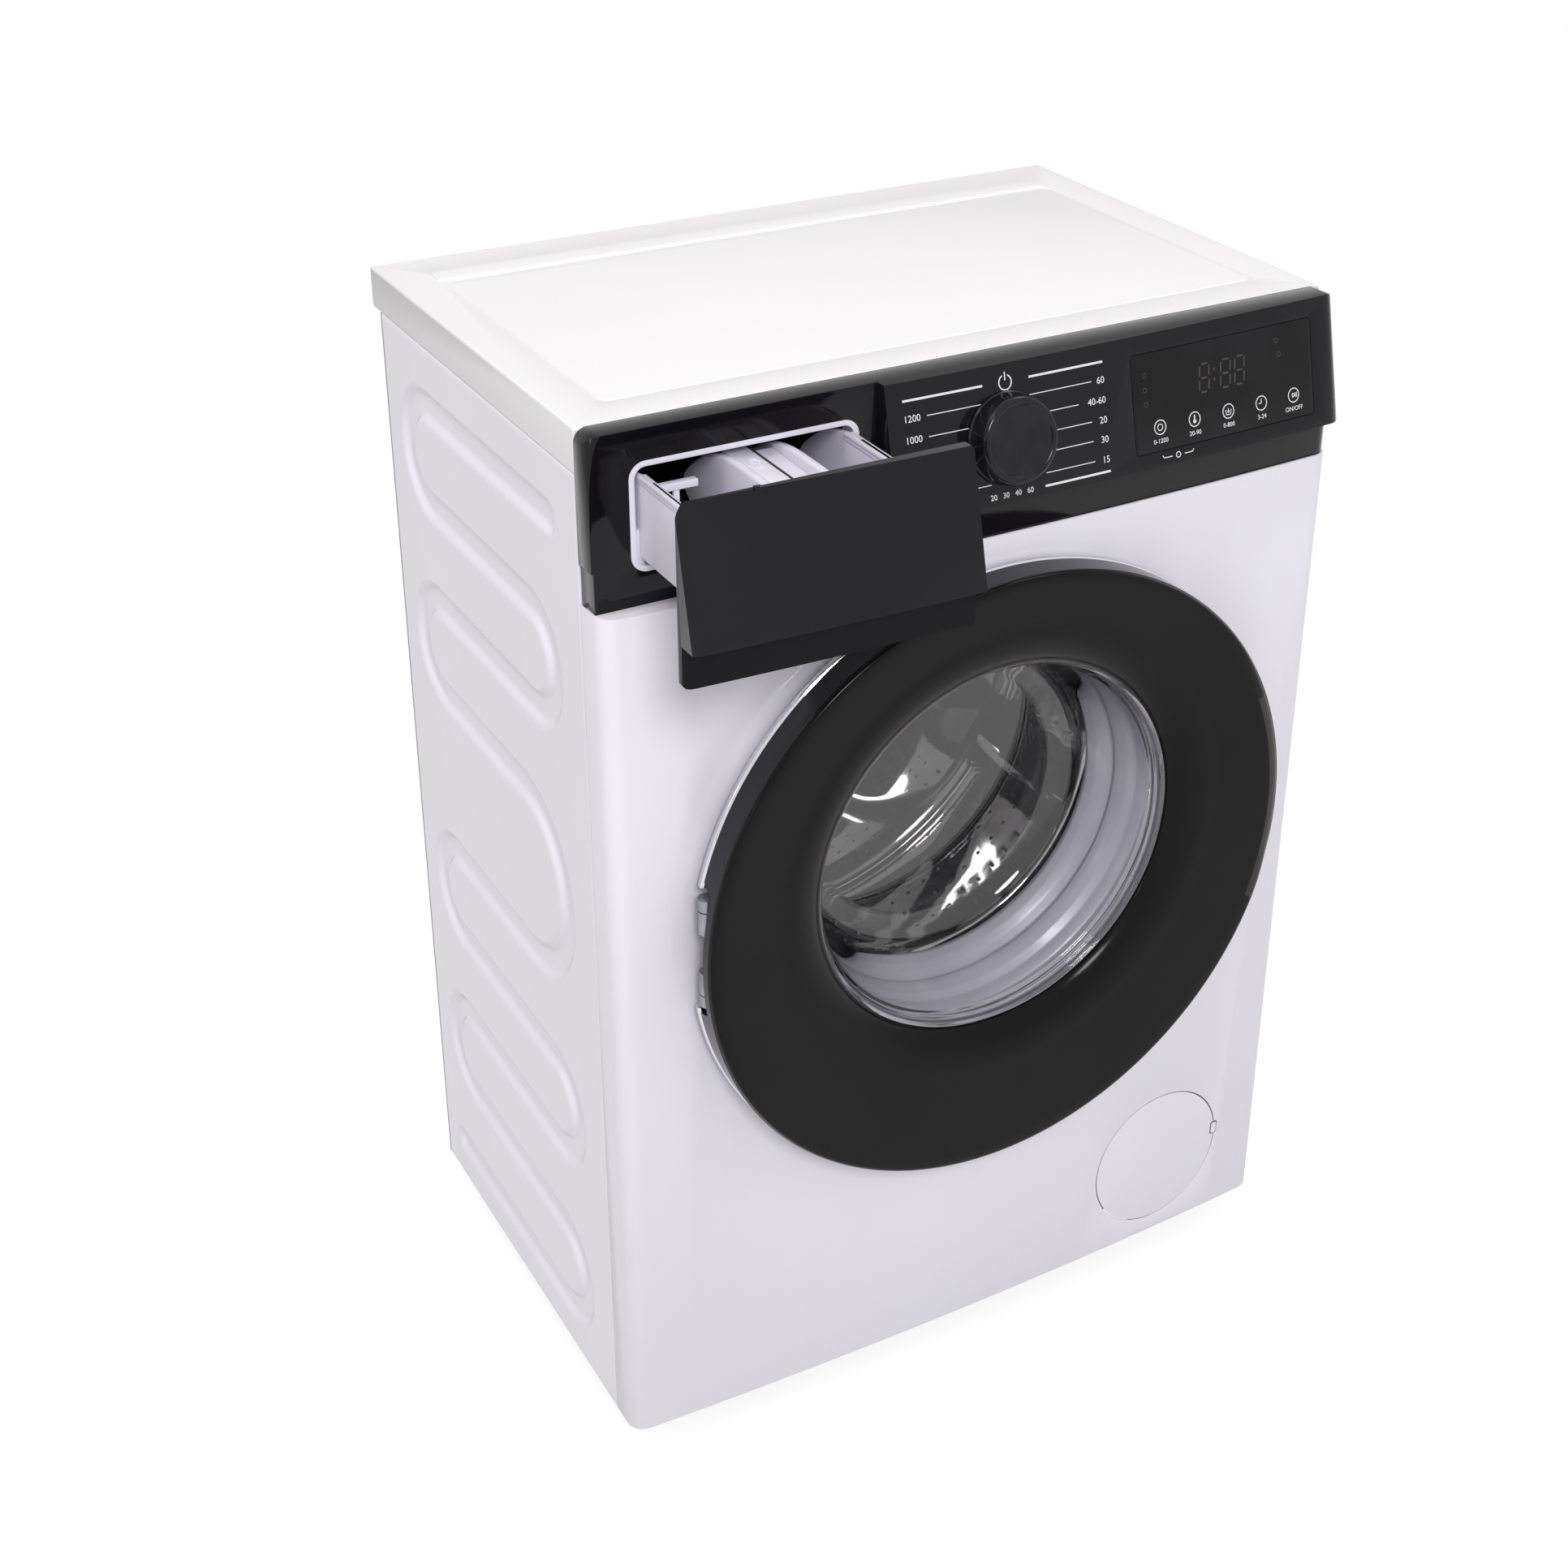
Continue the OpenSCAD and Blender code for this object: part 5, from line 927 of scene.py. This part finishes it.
addLegends()
addDigits()
print("legends printed")

knob = {
    "skirt": 32.5,
    "rim": 29,
    "tall": 19,
    "dish": 2.4,  # hollow of the face
    "dimpleAt": 21.5,
}


def addKnob():
    rim, tall = knob["rim"], knob["tall"]
    line = [(0, 0.5), (knob["skirt"] - 0.6, 0.5), (knob["skirt"], 0.9), (knob["skirt"], 1.9),
            (knob["skirt"] - 0.3, 2.6), (knob["skirt"] - 1.1, 3.3), (rim + 1.1, 15.4), (rim + 0.7, 16.8),
            (rim - 0.3, 18.2), (rim - 1.6, 18.9), (rim - 2.8, 19), (rim - 3.6, 18.7), (rim - 4.2, 18.1),
            (rim - 4.8, 17.5)]
    line += [(r, tall - knob["dish"] + 0.9 * (r / 24) ** 2) for r in range(23, -1, -1)]
    bm = bmesh.new()
    verts = [bmesh.ops.create_vert(bm, co=(r, 0, h))["vert"][0] for r, h in line]
    edges = [bm.edges.new(pair) for pair in zip(verts, verts[1:])]
    bmesh.ops.spin(bm, geom=verts + edges, cent=(0, 0, 0), axis=(0, 0, 1), dvec=(0, 0, 0),
                   angle=2 * math.pi, steps=144, use_merge=True)
    for vert in bm.verts:
        near = math.hypot(vert.co.x, vert.co.y + knob["dimpleAt"])
        if near < 4 and vert.co.z > tall / 2:
            vert.co.z -= 1.0 * math.exp(-(near / 1.5) ** 2)
    turn = Matrix.Rotation(math.pi / 2 - leanTurn, 4, "X")
    place = Matrix.Translation(facePoint(0, panel["knob"], 0))
    bmesh.ops.transform(bm, matrix=place @ turn @ Matrix.Scale(0.001, 4), verts=bm.verts)
    addPiece(bm, "knobCap", ["knob"], finishes["knob"])


addKnob()
easedCopy("display_window", 0.0005)
easedCopy("control_panel", 0.0008)
print("panel dressed")

# Drawer: front, tray with its two partitions, the siphon cap and the housing it slides in
drawer = {
    "stepZ": 757,
    "walls": (-266, -200.5, -158.4, -110),
    "top": 820,
    "floor": 760,
    "washFloor": 780,
    "front": -92,
    "rear": 86,
    "partition": 7,  # thickness of the two partitions
    "sideRound": 7,
    "paintedShadeDepth": 36,  # behind this the housing is painted dark: painted shade
}


# An upright panel: its side view (depth, height), its two faces across the machine
def addPanel(bm, outline, x0, x1, ease, steps=3):
    verts = [bmesh.ops.create_vert(bm, co=(x0 / 1000, frontY + d / 1000, z / 1000))["vert"][0]
             for d, z in outline]
    face = bmesh.ops.contextual_create(bm, geom=verts)["faces"]
    made = bmesh.ops.extrude_face_region(bm, geom=face)["geom"]
    moved = [item for item in made if isinstance(item, bmesh.types.BMVert)]
    bmesh.ops.translate(bm, vec=((x1 - x0) / 1000, 0, 0), verts=moved)
    solid = list(dict.fromkeys(f for v in verts + moved for f in v.link_faces))
    bmesh.ops.recalc_face_normals(bm, faces=solid)
    if ease:
        edges = dict.fromkeys(e for f in solid for e in f.edges)
        rims = [e for e in edges if e.is_manifold and e.calc_face_angle(0) > 0.6]
        easeEdges(bm, rims, ease / 1000, steps)


def sideView(low, drop=0):
    front, rear, top = drawer["front"], drawer["rear"], drawer["top"] - drop
    line = [(front, low), (front, top), (18, top), (48, top - 7), (rear - 8, top - 28), (rear, top - 40),
            (rear - 6, low + 10), (rear - 22, low)]
    soft = roundLine([(d, z, 0) for d, z in line], 16, 5, closed=True)
    square = [(front, low), (front, top)]
    return square + [(p.x, p.y) for p in soft if p.x > front + 16]


def addTray():
    walls, top, floor, front = drawer["walls"], drawer["top"], drawer["floor"], drawer["front"]
    half = drawer["partition"] / 2
    bm = bmesh.new()
    for x0, x1 in ((walls[0] + 1.6, walls[0] + 4), (walls[3] - 4.4, walls[3] - 1.4)):  # outer walls
        addPanel(bm, sideView(floor + 1), x0, x1, 0.5)
    for x0, x1 in ((walls[0], walls[0] + 5.2), (walls[3] - 6, walls[3])):  # rails along the top
        addPanel(bm, [(front, top - 3.4), (front, top), (17, top), (22, top - 3.4)], x0, x1, 0.9)
        addPanel(bm, [(front, top - 6.4), (front, top - 3), (20, top - 3), (24, top - 6.4)],
                 x0 + 0.8, x1 - 0.8, 0.4)
    for x in walls[1:3]:
        addPanel(bm, sideView(floor + 1, 0.4), x - half, x + half, 2.6, 4)
    z = drawer["washFloor"]  # the wash compartment ends in an open frame
    addPanel(bm, [(front, z), (front, z + 2.4), (24, z + 2.4), (24, z)], walls[0] + 3, walls[1], 0)
    addPanel(bm, [(18, z + 24), (18, z + 29), (24, z + 29), (24, z + 24)], walls[0] + 3, walls[0] + 42, 0.6)
    addPanel(bm, [(19, z + 1), (19, z + 25), (22, z + 25), (22, z + 1)], walls[0] + 25, walls[0] + 29, 0.4)
    for x0, x1 in ((walls[1], walls[2]), (walls[2], walls[3] - 3)):  # floors of the other two
        addPanel(bm, [(front, floor), (front, floor + 2.4), (62, floor + 2.4), (76, floor + 10),
                      (77.6, floor + 8.4), (64, floor)], x0, x1, 0)
    addPanel(bm, [(front + 0.2, floor), (front + 0.2, top - 1), (front + 3, top - 1), (front + 3, floor)],
             walls[0] + 3, walls[3] - 3, 0.4)
    addPiece(bm, "drawerTray", ["drawer_tray"], sharp=40)


def addSiphonCap():
    walls, top = drawer["walls"], drawer["top"]
    x0, x1 = walls[1] + 3.8, walls[2] - 3.8
    bm = bmesh.new()
    addPanel(bm, [(-50, top - 9), (-50, top - 5), (-46, top - 3.2), (34, top - 3.2), (40, top - 5),
                  (40, top - 9)], x0, x0 + 16, 0.8)
    addPanel(bm, [(-50, top - 14), (-50, top - 8.5), (34, top - 7), (40, top - 14)], x0 + 15, x1, 0.8)
    addPanel(bm, [(-22, top - 54), (-22, top - 8), (-8, top - 8), (-8, top - 54)], x0 + 13, x0 + 23, 3)
    ring = bmesh.new()
    addArc(ring, 0, 0, 4.2, 1.3, low=0, high=0.9, steps=28)
    shift = Matrix.Translation(((x0 + 8) / 1000, frontY + 0.006, (top - 3.3) / 1000))
    bmesh.ops.transform(ring, matrix=shift @ Matrix.Diagonal((0.001, 0.0017, 0.001, 1)), verts=ring.verts)
    joinMesh(bm, ring)
    addPiece(bm, "siphonCap", ["siphon_cap"], sharp=40)
    slit = bmesh.new()
    addPanel(slit, [(-44, top - 8), (-44, top - 2.9), (30, top - 2.9), (30, top - 8)],
             x0 + 16.2, x0 + 17.3, 0)
    addPiece(slit, "siphonSlit", ["siphon_cap"], finishes["dark_plastic"],
             body=bodyOf("siphon_cap"), slot="dark_plastic")


# Rounded foot of the leaning face, above the recessed lip
def softenStep(bm, low):
    foot = []
    for edge in sharpEdges(bm):
        a, b = edge.verts[0].co, edge.verts[1].co
        level = max(abs(a.z - drawer["stepZ"] / 1000), abs(b.z - drawer["stepZ"] / 1000)) < 0.0006
        if level and max(a.y, b.y) < low.y + 0.02 and edge.is_convex:
            foot.append(edge)
    print("step edges", len(foot))
    easeEdges(bm, foot, 0.002, 5)


def addDrawerFront():
    bm = nodeMesh("drawer_front")
    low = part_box("drawer_front")[0]
    ends = []
    for edge in sharpEdges(bm):
        a, b = edge.verts[0].co, edge.verts[1].co
        upright = abs(a.z - b.z) > 0.02 and abs(a.x - b.x) < 0.004
        outer = max(a.x, b.x) < low.x + 0.0012 and max(a.y, b.y) < low.y + 0.034
        if upright and outer:
            ends.append(edge)
    easeEdges(bm, ends, drawer["sideRound"] / 1000, 6)
    softenStep(bm, low)
    easeEdges(bm, sharpEdges(bm), 0.0009, 3)
    for face in bm.faces:
        spot = face.calc_center_median()
        face.material_index = int(spot.z < drawer["stepZ"] / 1000 - 0.0005 and face.normal.y < -0.5)
    addPiece(bm, "drawerFront", ["drawer_front"], sharp=40).data.materials.append(finishes["lip"])
    nub = bmesh.new()  # small catch on the top edge
    addPanel(nub, [(-96, 847.4), (-96, 849), (-94.6, 849.7), (-92.5, 849.7), (-92, 847.4)], -243, -238, 0.4)
    addPiece(nub, "drawerCatch", ["drawer_front"], body=bodyOf("drawer_front"), slot="black_gloss")


def addHousing():
    bm = nodeMesh("drawer_housing")
    easeEdges(bm, sharpEdges(bm), 0.0004, 2)
    shade = frontY + drawer["paintedShadeDepth"] / 1000
    bmesh.ops.bisect_plane(bm, geom=list(bm.verts) + list(bm.edges) + list(bm.faces), dist=1e-6,
                           plane_co=(0, shade, 0), plane_no=(0, 1, 0))
    # faces behind this plane take the near-black finish: painted shade deep in the housing
    for face in bm.faces:
        face.material_index = int(face.calc_center_median().y > shade)
    addPiece(bm, "drawerHousing", ["drawer_housing"]).data.materials.append(finishes["hollow"])


addTray()
addSiphonCap()
addDrawerFront()
addHousing()
print("drawer filled")


# Worktop: its outer top edge is well rounded
def addWorktop():
    bm = nodeMesh("worktop")
    low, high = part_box("worktop")
    rims = {"top": [], "rest": []}
    for edge in sharpEdges(bm):
        middle = (edge.verts[0].co + edge.verts[1].co) / 2
        outside = min(middle.x - low.x, high.x - middle.x, high.y - middle.y) < 0.0025
        rims["top" if outside and middle.z > high.z - 0.005 else "rest"].append(edge)
    print("worktop edges", len(rims["top"]), len(rims["rest"]))
    for edges, reach, steps in ((rims["top"], 0.0035, 6), (rims["rest"], 0.0006, 2)):
        easeEdges(bm, [e for e in edges if e.is_valid], reach, steps)
    addPiece(bm, "worktopEased", ["worktop"], sharp=40)


addWorktop()
easedCopy("front_panel", 0.0004)

flap = {
    "catchAt": (0.249, frontY + 0.0059, 0.113),
    "catchParts": [
        # name, half width, half height, depth, finish
        # a dark plate a little larger than the tab, under it: a painted shadow round the catch
        ("catchPaintedShadow", 3.4, 6.4, 0.25, "hollow"),
        ("catchTab", 2.5, 5.5, 0.6, "flap"),
    ],
}


# Round flap with a fine turned edge and its small catch
def addFlap():
    bm = nodeMesh("filter_flap")
    easeEdges(bm, sharpEdges(bm), 0.0006, 3)
    addPiece(bm, "filterCover", ["filter_flap"], finishes["flap"])
    x, y, z = flap["catchAt"]
    for name, wide, tall, depth, finish in flap["catchParts"]:
        tab = bmesh.new()
        bmesh.ops.create_cube(tab, size=1)
        for vert in tab.verts:
            vert.co = (x + vert.co.x * 2 * wide / 1000, y + (vert.co.y - 0.5) * depth / 1000,
                       z + vert.co.z * 2 * tall / 1000)
        upright = [e for e in tab.edges if abs(e.verts[0].co.y - e.verts[1].co.y) > 1e-5]
        easeEdges(tab, upright, wide * 0.0005, 4)
        addPiece(tab, name, ["filter_flap"], finishes[finish], body=bodyOf("filter_flap"),
                 slot="white_plastic")


addFlap()
easedCopy("door_frame", 0.0004)
print("covers closed")

bpy.context.view_layer.update()
